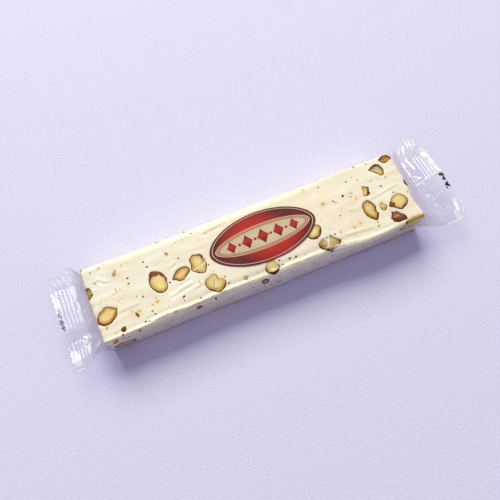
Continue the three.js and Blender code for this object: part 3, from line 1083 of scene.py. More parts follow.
@dataclass
class Almonds:
    """All almonds of the bar, each a piece of its own, flush with the faces."""

    form: BarForm
    hidden_seed: int = 11
    hidden_jitter: float = 8.0
    hidden_length: Pair = (6.5, 9.5)
    hidden_slender: Pair = (0.6, 0.8)
    pocket_gap: float = 0.03
    bulge: float = 0.05
    groove: float = 0.16

    def shown(self) -> list[Almond]:
        """The almonds on the faces towards the eye.

        Returns:
            The almonds, in the order of their nodes.
        """
        amber, pale, greyed, skin, rusty = Tone.AMBER, Tone.PALE, Tone.GREYED, Tone.SKIN, Tone.RUSTY
        top, front = Face.TOP, Face.FRONT
        return [
            Almond(top, -70.4, -6.4, 9.2, 7.2, amber, skin=0.5, corners=(
                -65.9, -5.1, -67, -3.9, -68.5, -3.1, -70, -2.5, -71.6, -3.2, -73.3, -4, -74.4, -5.3, -75.1,
                -7, -74.8, -8.5, -73, -10, -71, -10.2, -69.3, -9.6, -67.5, -8.4, -66.4, -6.7,
            ), flaps=((195, 30, 0.3),)),
            Almond(top, -46, -0.8, 10.2, 7.4, pale, skin=0.42, corners=(
                -47.1, 4.5, -45.3, 3.9, -43.9, 3, -42.9, 1.6, -42.2, -0.4, -42.5, -2.2, -42.7, -4, -43.7,
                -5.3, -45.5, -6, -47, -5.5, -48.2, -4.7, -49.1, -3.2, -49.7, -1.4, -49.6, 0.5, -49, 2.4,
                -48.2, 3.8,
            ), flaps=((98, 32, 2.0), (38, 24, 1.1), (0, 14, 0.5))),
            Almond(top, -35.7, -1.3, 8.2, 5.6, amber, skin=0.5, corners=(
                -39.9, -2.2, -39, -0.9, -38, 0.2, -36.5, 1.1, -34.6, 1.5, -33.2, 1.3, -32, 0.5, -31.6, -0.8,
                -32.4, -1.9, -33.5, -2.7, -34.5, -3.7, -35.8, -4.3, -37.6, -4, -38.6, -3, -39.8, -2.7,
            )),
            Almond(top, -27.5, 0.1, 9.2, 7, pale, skin=0.42, corners=(
                -28, 4.8, -26.5, 4.3, -25.2, 4.1, -24.4, 3, -24.3, 0.7, -23.8, -0.6, -24.3, -2, -25, -3.4,
                -26, -4.5, -27.3, -4.5, -28.4, -4, -29.4, -3.1, -30.4, -2.4, -31.1, -1.1, -30.5, 0.1, -30.3,
                1.5, -30.4, 2.8, -29.7, 3.8, -28.9, 4.5,
            ), split=(17, -0.75, 3.2), flaps=((50, 20, 0.8), (172, 12, 0.3))),
            Almond(top, -23.8, -10.6, 8.8, 8.2, pale, skin=0.5, corners=(
                -23.2, -6.4, -22.2, -7, -21.8, -7.9, -21.9, -8.8, -20.9, -9.3, -20, -9.7, -19.3, -11, -19.6,
                -12.3, -20.4, -13.3, -21.7, -14.2, -23.2, -14.7, -24.5, -14.4, -25.5, -13.6, -26.8, -12.8,
                -27.7, -11.6, -28.2, -10, -27.8, -8.7, -27, -7.7, -25.5, -6.9, -24.3, -6.6,
            ), split=(63, 0.3, 2.6)),
            Almond(top, 1.5, -13.1, 6.4, 5.6, pale, skin=0.36, corners=(
                1.4, -10.4, 2.9, -10.5, 3.9, -11.4, 4.5, -12.7, 4.9, -13.8, 4, -14.6, 3.1, -15.5, 1.2,
                -16.1, 0, -15.5, -1.2, -14.6, -1.7, -13.3, -1.3, -11.8, -0.3, -10.9,
            ), flaps=((-16, 12, 0.7), (198, 12, 0.6))),
            Almond(top, 25, -5.4, 7.6, 6.4, pale, 20, skin=0.42, flaps=((-98, 9, 0.5), (-20, 20, 0.3))),
            Almond(top, 29, -12.7, 9.8, 6.2, greyed, skin=0.42, corners=(
                24.1, -12, 24.8, -10.9, 26, -10.1, 27.6, -9.5, 29.4, -9.7, 31, -9.4, 32, -10.7, 33.4, -12,
                34.2, -13.1, 33.5, -14.4, 32.2, -15.3, 30.3, -15.6, 28.5, -16.4, 27.2, -15.7, 26, -15, 24.9,
                -13.8,
            ), flaps=((205, 12, 0.5),), split=(62, 0.6, 2.6)),
            Almond(top, 53, -5.8, 10.2, 6.2, amber, skin=0.5, corners=(
                53.2, -0.7, 54.3, -1.2, 55.2, -2.5, 55.9, -4.2, 56, -5.2, 55.5, -6.2, 55.5, -7.3, 55.9, -8,
                55.2, -9, 54.4, -10.2, 53.3, -10.9, 52.4, -10.1, 51.3, -9, 50.3, -7.5, 49.9, -5.8, 50, -3.8,
                50.5, -2.3, 51.5, -1.2,
            ), flaps=((-38, 9, 0.4),)),
            Almond(top, 59.2, -5.9, 4.2, 3.4, pale, skin=0.05, corners=(
                59, -3.8, 60, -4.8, 60.9, -6.1, 60.3, -7.2, 59.4, -8, 58.3, -7.8, 57.5, -6.9, 57.6, -5.8,
                58.2, -4.6,
            ), flaps=((70, 30, 0.3),)),
            Almond(top, 67.3, -6.7, 7.7, 7.5, pale, skin=0.5, corners=(
                67.6, -2.9, 69, -3.5, 70.3, -4.8, 71, -6.2, 70.9, -7.5, 70, -8.9, 68.8, -9.7, 67.5, -10.2,
                66.5, -10.5, 65.2, -9.9, 64.1, -9, 63.2, -8.2, 62.2, -7.8, 61.7, -6.9, 62.5, -5.8, 63.6, -5,
                64.3, -4.2, 65.6, -3.3,
            ), flaps=((186, 15, 1.9), (-67, 7, 0.7))),
            Almond(top, 62.9, -12.9, 6.8, 5.4, skin, skin=0.4, corners=(
                61.5, -9.6, 62.4, -10.5, 63.3, -10, 64, -10.8, 65, -12, 66.2, -13.3, 66.4, -14.9, 65.6,
                -15.5, 64.2, -15.4, 62.2, -15.5, 61, -14.8, 59.9, -14.2, 60.1, -13.5, 59.6, -12.6, 60.3,
                -11.6, 60.9, -10.7,
            )),
            Almond(top, 65, 10.8, 7.4, 4.8, greyed, skin=0.42, corners=(
                61.6, 12.3, 62.8, 13, 64.3, 13.7, 65.8, 13.9, 67, 13.3, 67.6, 12, 68.1, 10.5, 67.7, 9.2,
                67.1, 8, 66, 7.6, 65.3, 8, 64.5, 9, 63.2, 10.6, 62.2, 11.6,
            ), flaps=((45, 50, 0.2),), split=(138, 0.2, 1.6)),
            Almond(top, 71.5, 14.9, 6.2, 4.2, rusty, skin=0.4, corners=(
                68.4, 15.3, 69.4, 16, 70.7, 16.7, 71.8, 17.2, 72.7, 16.7, 73.6, 15.7, 74.7, 14.5, 73.8,
                13.8, 72.3, 13.5, 70.9, 12.9, 69.6, 13.3, 68.8, 14.2,
            )),
            Almond(top, 55.2, 3.5, 4.8, 3.6, pale, skin=0.12, corners=(
                55.1, 5.9, 56.2, 5.3, 57.3, 4.9, 57.2, 3.9, 56.6, 2.8, 56.9, 2.1, 56, 1.4, 54.7, 1.1, 53.3,
                1.3, 53.5, 2.4, 54, 3.8, 54.2, 5,
            ), flaps=((8, 34, 0.9), (-62, 38, 1.2))),
            Almond(Face.LEFT, -5.3, 14.3, 7.6, 5.8, greyed, 4, depth=3.8, skin=0.36),
            Almond(Face.RIGHT, 0.6, 15.2, 4.4, 4, skin, skin=0.4),
            Almond(front, 69.6, 12.8, 13.8, 10.2, pale, 13, depth=4.0, skin=0.14),
            Almond(front, -68.4, 4.9, 9.8, 6.2, greyed, 176, depth=5, skin=0.8),
            Almond(front, -3.3, 13.8, 4.8, 3.2, rusty, 105, skin=0.3),
        ]

    def hidden(self) -> list[Almond]:
        """The almonds on the other faces, spread by the rule that placed their solids.

        Returns:
            The almonds, in the order of their nodes.
        """
        draw = Minimal(self.hidden_seed).draw
        middle = self.form.height / 2
        rows = []
        bands = ((Face.BACK, 6, 66, middle, 2.5), (Face.UNDER, 3, 60, 11, 2), (Face.UNDER, 3, 56, -10.5, 2))
        for face, count, half_run, across, half_band in bands:
            for i in range(count):
                along = half_run * ((2 * i + 1) / count - 1) + (draw() - 0.5) * self.hidden_jitter
                side = across + (2 * draw() - 1) * half_band
                length = blend(*self.hidden_length, draw())
                width = length * blend(*self.hidden_slender, draw())
                tone = (Tone.AMBER, Tone.PALE, Tone.AMBER)[i % 3]
                rows.append(Almond(face, along, side, length, width, tone, 180 * draw()))
        return rows

    def all(self) -> list[Almond]:
        """Every almond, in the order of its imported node."""
        return [*self.shown(), *self.hidden()]

    def finishes(self) -> dict[Tone, Material]:
        """The finish of each tone."""
        looks = (
            AlmondFinish(Tone.AMBER, srgb(246, 218, 134), srgb(180, 126, 34)),
            AlmondFinish(Tone.PALE, srgb(245, 225, 146), srgb(208, 170, 84)),
            # paler, greyer flesh painted for the film's glare over it
            AlmondFinish(Tone.GREYED, srgb(226, 204, 136), srgb(172, 138, 62)),
            AlmondFinish(Tone.SKIN, srgb(168, 112, 58), srgb(104, 54, 20)),
            AlmondFinish(Tone.RUSTY, srgb(210, 150, 34), srgb(164, 100, 16)),
        )
        return {look.tone: look.material() for look in looks}

    def build(self, block: Piece) -> list[Piece]:
        """Cuts every almond flush with the block and dresses it.

        Args:
            block: The block without pockets.

        Returns:
            The bodies for cutting the pockets, which aren't part of the object.
        """
        finishes = self.finishes()
        plain = next(iter(finishes.values()))
        pockets: list[Piece] = []
        for i, almond in enumerate(self.all()):
            name = f"almond_{i + 1:02d}"
            whole = almond.body(self.form).piece("whole_almond", plain)
            mesh = carve(whole, [block], "INTERSECT")
            near = [p for p in pockets if self.touching(whole, p)]
            bpy.data.objects.remove(whole)
            if near:
                raw = dress("raw_almond", mesh, plain)
                mesh = carve(raw, near, "DIFFERENCE")
                bpy.data.objects.remove(raw)
            self.shape_cut(almond, mesh)
            piece = dress(name, mesh, finishes[almond.tone], 50)
            slot = "almond_skin" if almond.tone in (Tone.SKIN, Tone.RUSTY) else "almond_flesh"
            mount(piece, slot, name)
            pockets.append(almond.body(self.form, self.pocket_gap).piece(f"pocket_{i + 1:02d}", plain))
        return pockets

    @staticmethod
    def touching(first: Piece, second: Piece) -> bool:
        """True if the boxes of two objects overlap."""
        a, b = (mesh_points(piece.data) for piece in (first, second))
        return bool(np.all(a.min(0) < b.max(0)) and np.all(b.min(0) < a.max(0)))

    def shape_cut(self, almond: Almond, mesh: Mesh) -> None:
        """Gives the cut face its own relief and the values that its finish reads.

        Args:
            almond: The almond.
            mesh: Its mesh, flush with the block.
        """
        points = mesh_points(mesh)
        values = almond.carried(self.form, points)
        inside = ease(values["skin_depth"], 0.25, 0.8)
        split = hump(values["split"], 0, 0.3)
        rough = almond.tone in (Tone.SKIN, Tone.RUSTY)
        height, cell = (0.34, (1.5, 0.6, 0.6)) if rough else (0.03, 1.2)
        wrinkle = height * Lattice(14).at(points, cell)
        lift = inside * (self.bulge - self.groove * split + wrinkle)
        set_mesh_points(mesh, points + lift[:, None] * almond.face.axes()[2])
        carry(mesh, values)


@dataclass
class Block:
    """The block of nougat: soft folds, dents, worn edges and a pocket round each almond."""

    form: BarForm
    almonds: list[Almond]
    cell: float = 0.46
    swell: float = 0.16
    folds: float = 0.16
    knead: float = 0.06
    smear: float = 0.10
    dents: float = 0.55
    shoulder: float = 0.95
    groove_middle: float = -2.0
    groove_half_width: float = 5.3
    groove_depth: float = 0.55
    underside: float = 0.16

    def surface(self, points: Array, out: Array) -> Array:
        """Where the nougat's surface lies.

        Args:
            points: Points on the plain rounded block.
            out: The direction out of it at each.

        Returns:
            The points on the uneven surface.
        """
        soft = self.form.soften(points)
        lowered = soft + self.relief(soft, out)[:, None] * out
        return self.press_underside(self.form.refine(self.wear_shoulder(lowered)), out)

    def relief(self, points: Array, out: Array) -> Array:
        """How far the surface stands out of the softened block.

        Args:
            points: Points on the softened block.
            out: The direction out of it at each.

        Returns:
            Millimetres, mostly below 0.
        """
        walls = np.abs(out[:, 1])
        slow = self.swell * Lattice(21).at(points, 21)
        fold = 1 - np.abs(Lattice(22).at(points, (17, 6.5, 6.5)))
        folds = self.folds * (fold**3 - 0.35)
        knead = self.knead * Lattice(23).at(points, (5, 2.6, 2.6))
        smear = self.smear * walls * Lattice(24).at(points, (7, 2, 1.6))
        fine = 0.025 * Lattice(25).at(points, 1.1)
        dent_mask = np.maximum(Lattice(26).at(points, (3.4, 2.2, 2.2)) - 0.62, 0)
        total = slow + folds + knead + smear + fine - self.dents * dent_mask * (0.7 + 1.3 * walls) - 0.12
        return np.minimum(total + self.lips(points), 0.14)

    def lips(self, points: Array) -> Array:
        """The raised lip and narrow moat that each almond leaves in the nougat.

        Args:
            points: Points on the softened block.

        Returns:
            Millimetres to add to the relief.
        """
        total = np.zeros(len(points))
        uneven = 0.6 + 0.4 * Lattice(27).at(points, 3)
        for almond in self.almonds:
            near = np.linalg.norm(points - almond.centre(self.form), axis=1) < almond.length / 2 + 4
            if not near.any():
                continue
            outside = -almond.depth_at(self.form, points[near])[0]
            lip = 0.10 * hump(outside, 0.9, 0.6) * uneven[near] - 0.10 * hump(outside, 0.0, 0.35)
            total[near] += np.where(outside > -0.5, lip, 0)
        return total

    def wear_shoulder(self, points: Array) -> Array:
        """Wears the front top edge down to a broad shoulder, most in the middle.

        Args:
            points: Points on the surface.

        Returns:
            The moved points.
        """
        x, y, z = points.T
        away = (y + self.form.width / 2) + (self.form.height - z)
        middle = ease(x, -48, -20) * ease(x, 58, 16)
        amount = (-0.15 + self.shoulder * middle) * np.exp(-((away / 3.4) ** 2))
        amount *= 1 + 0.35 * Lattice(28).at(points, (9, 30, 30))
        move = np.stack([np.zeros_like(amount), amount, -amount], axis=1)
        return points + move * math.sqrt(0.5)

    def press_underside(self, points: Array, out: Array) -> Array:
        """Keeps the underside flat and presses the seal's groove into it.

        Args:
            points: Points on the surface.
            out: The direction out of it at each.

        Returns:
            The moved points.
        """
        away = np.abs(points[:, 1] - self.groove_middle)
        groove = self.groove_depth * ease(away, self.groove_half_width + 0.6, self.groove_half_width)
        under = out[:, 2] < -0.5
        floor = self.underside + np.where(under, groove, 0)
        pressed = points.copy()
        pressed[:, 2] = np.maximum(points[:, 2], floor)
        return pressed

    def blank(self, finish: Material) -> Piece:
        """The block before its pockets are cut, which isn't part of the bar.

        Args:
            finish: Its material.

        Returns:
            The object.
        """
        sizes = np.array([self.form.length, self.form.width, self.form.height])
        lines = [np.linspace(-size / 2, size / 2, round(size / self.cell) + 1) for size in sizes]
        points, quads = box_skin(lines)
        rounded, out = round_off(points, sizes / 2, self.form.edge_radius)
        points = self.surface(rounded + (0, 0, self.form.height / 2), out)
        return Skin(points, [quads]).piece("nougat_blank", finish)

    def build(self, blank: Piece, pockets: Sequence[Piece], stain: Callable[[Array], Array]) -> None:
        """Cuts the pockets and dresses the block.

        Args:
            blank: The block without pockets.
            pockets: The almonds' bodies.
            stain: Gives how much nut oil has stained points of the block, with a broad warm tint on the
                right.
        """
        mesh = carve(blank, pockets, "DIFFERENCE")
        points = mesh_points(mesh)
        uneven = 0.55 + 0.45 * Lattice(31).at(points, 1.2)
        carry(mesh, {"stain": np.clip(stain(points) * uneven, 0, 0.8)})
        mount(dress("nougat_block", mesh, blank.data.materials[0], 50), "nougat", "nougat")


# ---- crumbs and flecks


@dataclass(frozen=True)
class Crumb:
    """One small crumb set in a face, as a lumpy flat lens."""

    face: Face
    along: float
    across: float
    size: float
    stretch: float = 1.0
    turn: float = 0.0
    proud: float = 0.06

    SIDES = 12
    RINGS = 6

    def skin(self, block: Block, seed: int) -> Skin:
        """Its closed skin in place.

        Args:
            block: The block that it is set in.
            seed: Its own number, for its uneven outline.

        Returns:
            The skin.
        """
        turn = np.linspace(0, 2 * np.pi, self.SIDES, endpoint=False)
        turns, tilts = np.meshgrid(turn, np.linspace(0, np.pi, self.RINGS + 1)[1:-1])
        flat, high = np.sin(tilts), np.cos(tilts)
        ways = np.stack([flat * np.cos(turns), flat * np.sin(turns), high], axis=-1).reshape(-1, 3)
        ways = np.concatenate([ways, [[0, 0, 1], [0, 0, -1]]])
        ragged = 1 + 0.28 * Lattice(40).at(ways * 1.3 + 7.1 * seed, 0.8)
        half = self.size / 2
        local = ways * ragged[:, None] * (half * self.stretch, half / self.stretch, 0.45 * half)
        local[:, 2] = np.minimum(local[:, 2], self.proud) - 0.02
        axes = self.face.axes()
        middle = self.face.point(block.form, self.along, self.across)
        out = np.repeat(axes[2:3], len(ways), axis=0)
        foot = middle + turned(local[:, :2], self.turn) @ axes[:2]
        points = block.surface(foot, out) + local[:, 2:3] * out
        return Skin(points, ball_faces(self.RINGS - 1, self.SIDES))


@dataclass
class Crumbs:
    """The crumbs and flecks of nut and skin, one piece for each kind."""

    block: Block
    seed: int = 5
    strewn: int = 90

    DARK = (
        (62.9, 3.1, 1), (44.5, 5, 1.2), (39.4, 4.4, 0.8), (39.2, -3, 0.7), (33, -9.9, 0.8),
        (-48.2, 7.3, 0.9), (-56.7, -14.7, 0.9), (-55.2, -15.1, 0.8), (-60.2, -17.3, 0.9),
        (-67.3, -16.2, 0.9), (-73, 4.3, 1), (-57.8, 3.2, 0.9), (-41.5, -3, 0.9), (-18.5, -12.7, 0.9),
        (5.5, -11.5, 1), (6.1, -13.7, 0.9), (-26.2, -17.3, 0.9), (-12.5, 8.6, 0.8),
    )
    BROWN = (
        (49.3, 10.8, 1), (-49, 9.9, 0.9), (-25, 14.4, 0.8), (-52.6, -11.7, 0.9), (-57.5, 5.6, 1),
        (-54.1, -4.5, 0.9), (-34.3, 5.8, 0.8), (-51.8, -13.3, 0.8), (-31.8, -14.3, 0.9), (10, -12.4, 1.2),
        (12.8, -12.7, 1.2), (-70.5, -17.6, 1.9), (66.6, -1.7, 0.9), (40.2, 3.4, 0.8), (52.8, 12, 0.6),
        (36.4, 13, 0.8), (-23.4, -1.9, 0.8),
    )
    TAN = (
        (47.7, 3.3, 1), (59.8, 7, 0.8), (44.5, -2.8, 0.8), (34.8, -14.5, 0.9), (53.3, -11.8, 1),
        (52.8, -13.4, 1.1), (67, 6.3, 1), (56, 16.3, 1), (62, 15.6, 1), (73.2, -3.9, 1.2), (54.5, 9.6, 0.9),
        (-58, 12, 1.1), (-65, 15.2, 0.8), (-71.2, 13.8, 1), (-67.6, 14.3, 1.2), (-70.8, 8.7, 1.1),
        (-74.3, 16.5, 1), (-63.7, 2.7, 1.1), (-71.9, -11.2, 1.2), (-56.4, -3.3, 0.8), (-47.1, -15.2, 0.9),
        (-38.7, -12.7, 0.9), (-29.8, -7.7, 1.2), (-19, -9.5, 1.3), (-23.6, 1.2, 0.8), (-40.5, 16.4, 1.1),
        (-28, 16.4, 1.1),
    )
    AMBER = (
        (48.6, 4.9, 1.1), (49.6, 1.9, 1), (46, -9.5, 1), (42.5, -10.2, 1.3), (35.8, -9.8, 1),
        (29.3, 14.8, 1.2), (-60.5, -8.7, 0.9), (-57.4, -9.7, 0.9), (-51.5, -9.2, 1), (-49.3, -8.7, 1.5),
        (-49.3, -7.1, 0.8), (-43.6, -15.9, 0.9),
    )
    CHIPS = (
        Crumb(Face.TOP, -66.1, -14.2, 2.5, 1.05, 40, 0.16),
        Crumb(Face.TOP, -58.9, -10.8, 1.6, 1.5, 110, 0.14),
        Crumb(Face.TOP, -38.3, -11.1, 1.2, 1.5, 30, 0.12),
        Crumb(Face.FRONT, -33.8, 14, 3.6, 0.8, 0, 0.1),
    )
    PALE_CHIPS = (
        Crumb(Face.TOP, -62, 10, 2.6, 1.3, 60, 0.16), Crumb(Face.TOP, -38.5, 9.9, 1.7, 1.3, -60, 0.14),
        Crumb(Face.TOP, -10.9, -13.1, 2.5, 1.1, 80, 0.14), Crumb(Face.TOP, 34.6, 5.1, 1.5, 1.1, 0, 0.14),
    )
    FRONT_DARK = (
        (-65.2, 13.8, 1.3), (-67.6, 15.3, 0.9), (-55.3, 4.5, 1.2), (3.4, 6.6, 2), (-0.5, 7.2, 1.3),
        (-3.9, 9.2, 1), (3.3, 14, 1.2), (43, 14.5, 0.9), (53.8, 12.5, 0.9), (20, 14, 0.8),
    )

    # The last row is a broad warm tint over the right half of the top rather than one oil stain.
    STAINS = (
        (-58.9, -10.8, 1.9, 0.8), (-62, 10, 2.2, 0.35), (34.7, 5.3, 1.7, 0.7), (44.0, -9.8, 2.6, 0.3),
        (-16, 14.2, 1.4, 0.35), (-11, 14.8, 1.2, 0.45), (-6, 15.2, 1.3, 0.3), (0.5, 15.6, 1.0, 0.4),
        (42, 6, 26, 0.16),
    )

    def stain(self, points: Array) -> Array:
        """How much nut oil from the amber crumbs and at named places has stained the top, with a broad warm
        tint over its right half.

        Args:
            points: Points of the block.

        Returns:
            The amount at each point.
        """
        named = (*((x, y, 1.3, 0.4) for x, y, _ in self.AMBER), *self.STAINS)
        total = np.zeros(len(points))
        for x, y, spread, amount in named:
            total += amount * hump(np.hypot(points[:, 0] - x, points[:, 1] - y), 0, spread)
        return total * (points[:, 2] > 12)

    def placed(self, places: Iterable[tuple[float, ...]], face: Face) -> list[Crumb]:
        """Crumbs at places along and across a face, each with its size, with an outline drawn for each."""
        draw = np.random.default_rng(self.seed)
        return [Crumb(face, *row, 1 + 0.35 * draw.random(), 180 * draw.random()) for row in places]

    def strew(self, face: Face, count: int, seed: int, size: Pair) -> list[Crumb]:
        """Draws crumbs over a face, clear of its edges and the almonds.

        Args:
            face: The face.
            count: How many are drawn.
            seed: The draw's own number.
            size: The smallest and largest size.

        Returns:
            Those that are kept.
        """
        draw = np.random.default_rng(seed).random((count, 3))
        form = self.block.form
        sizes = np.abs(face.axes()[:2] @ np.array([form.length, form.width, form.height]))
        places = (draw[:, :2] - 0.5) * (sizes - (5, 4))
        places[:, 1] += 0 if face in (Face.TOP, Face.UNDER) else form.height / 2
        spots = form.soften(np.array([face.point(form, *place) for place in places]))
        clear = np.all([nut.depth_at(form, spots)[0] < -0.6 for nut in self.block.almonds], axis=0)
        rows = np.column_stack([places, blend(*size, draw[:, 2] ** 2)])[clear]
        return self.placed(rows.tolist(), face)

    def build(self) -> None:
        """Makes one piece of each kind of crumb."""
        dark = self.placed(self.DARK, Face.TOP) + self.placed(self.FRONT_DARK, Face.FRONT)
        brown = self.placed(self.BROWN, Face.TOP)
        tan = self.placed(self.TAN, Face.TOP) + self.strew(Face.TOP, self.strewn, 61, (0.3, 0.7))
        for i, face in enumerate((Face.FRONT, Face.BACK, Face.LEFT, Face.RIGHT, Face.UNDER)):
            share = 0.25 if face in (Face.LEFT, Face.RIGHT) else 1
            dark += self.strew(face, round(10 * share), 70 + i, (0.4, 1.0))
            brown += self.strew(face, round(24 * share), 80 + i, (0.4, 1.2))
            tan += self.strew(face, round(60 * share), 90 + i, (0.4, 1.8))
        amber = self.placed(self.AMBER, Face.TOP)
        skin, flesh = "almond_skin", "almond_flesh"
        kinds = (
            ("flecks_dark", dark, "fleck_dark", (100, 68, 34), (50, 30, 12), skin),
            ("flecks_brown", brown, "fleck_brown", (158, 116, 62), (116, 78, 36), skin),
            ("flecks_tan", tan, "fleck_tan", (222, 196, 142), (196, 162, 102), flesh),
            ("flecks_amber", amber, "fleck_amber", (238, 200, 116), (226, 176, 84), flesh),
            ("chips_brown", self.CHIPS, "fleck_chip", (150, 80, 18), (100, 46, 6), skin),
            ("chips_pale", self.PALE_CHIPS, "fleck_pale_chip", (232, 205, 138), (192, 148, 70), flesh),
        )
        for name, rows, look, tint, dark, slot in kinds:
            skins = [row.skin(self.block, i) for i, row in enumerate(rows)]
            finish = FleckFinish(look, srgb(*tint), srgb(*dark))
            mount(Skin.joined(skins).piece(name, finish.material()), slot)


# ---- the film


@dataclass
class Section:
    """A loop of points round a rectangle from -1 to 1, mirrored top to bottom.

    Where it is bunched, its points lie closer together towards the rectangle's sides.
    """

    across: int
    up: int
    bunched: bool = False

    BUNCH = 0.45 * math.pi

    def loop(self) -> Array:
        """The loop from the middle of one side, over the top, and back under.

        Returns:
            Rows of how far across and how far up each point lies.
        """
        over = np.linspace(1, -1, self.across + 1)
        if self.bunched:
            over = np.sin(over * self.BUNCH) / math.sin(self.BUNCH)
        rise = np.linspace(0, 1, self.up + 1)[:-1]
        first = np.stack([np.ones(self.up), rise], axis=1)
        top = np.stack([over, np.ones(self.across + 1)], axis=1)
        half = np.concatenate([first, top, first[::-1] * (-1, 1)])
        return np.concatenate([half, half[-2:0:-1] * (1, -1)])


@dataclass
class Sleeve:
    """The film that hugs the block between its two ends."""

    form: BarForm
    rest: float = 0.26
    thickness: float = 0.06
    stations: int = 240
    across: int = 84
    up: int = 20
    root: float = 75.7
    root_half: Pair = (16.8, 8.0)
    root_radius: float = 1.3
    bulge: float = 0.12
    ridge: float = 0.12
    lowest: float = 0.03
    groove_middle: float = -2.0
    groove_half_width: float = 5.2
    groove_rise: float = 0.42

    # Creases over the top; their painted shine paints glints of the film over almonds and near the left end.
    CREASES = (
        *chain((27.2, -9.4), (28.8, -12), (28.2, -13.8), rise=0.12, spread=0.42, white=0.75),
        *ridges(
            (29.8, -16.3, 32.2, -15.8, 0.1, 0.45, 0.8), (4.3, -12.6, 3.4, -15, 0.08, 0.5, 0.4),
            (0.6, -14.6, 2.2, -15.6, 0.08, 0.4, 0.4), (27, -16.9, 41, -17.4, 0.08, 0.3, 0.25),
        ),
        *chain((-71.2, 12.2), (-69.2, 8.6), (-69.6, 4.4), rise=0.04, spread=0.8, white=0.35),
        *chain((-66.6, 8.8), (-64.4, 8.2), rise=0.04, spread=0.7, white=0.35),
    )

    def lift(self, points: Array, out: Array) -> Array:
        """How far the film stands off the softened block.

        Args:
            points: Points on the softened block.
            out: The direction out of it at each.

        Returns:
            Millimetres.
        """
        x, y, z = points.T
        to_back = (self.form.width / 2 - y) + (self.form.height - z)
        to_front = (self.form.width / 2 + y) + (self.form.height - z)
        along = Lattice(51).at(points * (1, 0, 0), 16)
        back = self.bulge * (0.75 + 0.35 * along) * hump(to_back, 0.6, 2.4)
        crinkle = 0.6 + 0.6 * Lattice(52).at(points * (1, 0, 0), 4.5)
        front = self.ridge * crinkle * hump(to_front, 0.9, 0.55)
        front *= 1 - 0.8 * ease(x, -42, -24) * ease(x, 46, 26)
        slack = 0.03 * Lattice(53).at(points, (15, 4, 4))
        sharp = 1 - np.abs(Lattice(54).at(points, (11, 3.5, 3.5)))
        creases = 0.02 * np.maximum(sharp - 0.8, 0) / 0.2
        gather = 0.2 * Lattice(55).at(points, (14, 1.7, 1.7)) * ease(np.abs(x), 70, 75.5)
        above = out[:, 2] > -0.3
        creases += sum(crease.rise * crease.share(x, y) for crease in self.CREASES) * (z > 12)
        return self.rest + np.where(above, back + front + slack + creases + np.maximum(gather, -0.1), 0.0)

    def surface(self, points: Array, out: Array) -> Array:
        """Where the film's outside lies.

        Args:
            points: Points on the plain rounded block.
            out: The direction out of it at each.

        Returns:
            The points on the film.
        """
        soft = self.form.soften(points)
        film = self.form.refine(soft + self.lift(soft, out)[:, None] * out)
        under = out[:, 2] < -0.5
        away = np.abs(film[:, 1] - self.groove_middle)
        rise = self.groove_rise * ease(away, self.groove_half_width + 0.5, self.groove_half_width)
        film[:, 2] = np.where(under, self.lowest + rise, np.maximum(film[:, 2], self.lowest))
        return film

    def top(self, x: Array, y: Array) -> Array:
        """The height of the film's outside over places on the top face."""
        flat = np.stack([x, y, np.full_like(x, self.form.height)], axis=1)
        return self.surface(flat, np.repeat([[0.0, 0.0, 1.0]], len(flat), axis=0))[:, 2]

    def loops(self) -> tuple[Array, Array]:
        """The film's outside as loops along the bar.

        Returns:
            The points and the directions out of the film, loop by loop.
        """
        square = Section(self.across, self.up, bunched=True).loop()
        half = np.array([self.form.width, self.form.height]) / 2
        core = np.array(self.root_half)
        flat, out = round_off(square * half, half, self.form.edge_radius)
        squeezed, _ = round_off(square * core, core, self.root_radius)
        facing = np.column_stack([np.zeros(len(flat)), out])
        rows = []
        for x in bent(np.linspace(-1, 1, self.stations + 1), 0.92) * self.root:
            along = np.full(len(flat), x)
            film = self.surface(np.column_stack([along, flat + (0, half[1])]), facing)
            film[:, 0] = x
            close = ease(abs(x), self.root - 2.6, self.root) ** 1.5
            rows.append(blend(film, np.column_stack([along, squeezed + (0, half[1])]), close))
        return np.array(rows), np.array([facing] * len(rows))

    def build(self, finish: Material) -> None:
        """Makes the sleeve as a closed thin wall and dresses it.

        Args:
            finish: The film's material.
        """
        rows, outs = self.loops()
        loops = np.concatenate([rows, (rows - self.thickness * outs)[::-1]])
        number = np.pad(np.arange(loops[..., 0].size).reshape(loops.shape[:2]), (0, 1), "wrap")
        points = loops.reshape(-1, 3)
        x, y, z = points.T
        # painted highlights of the creases, for the film's pale diffuse layer
        haze = sum(crease.white * crease.share(x, y) for crease in self.CREASES) * (z > 12)
        skin = Skin(points, [grid_faces(number)], {"haze": np.clip(haze, 0, 0.9)})
        mount(skin.piece("film_sleeve", finish, 80), "clear_film")


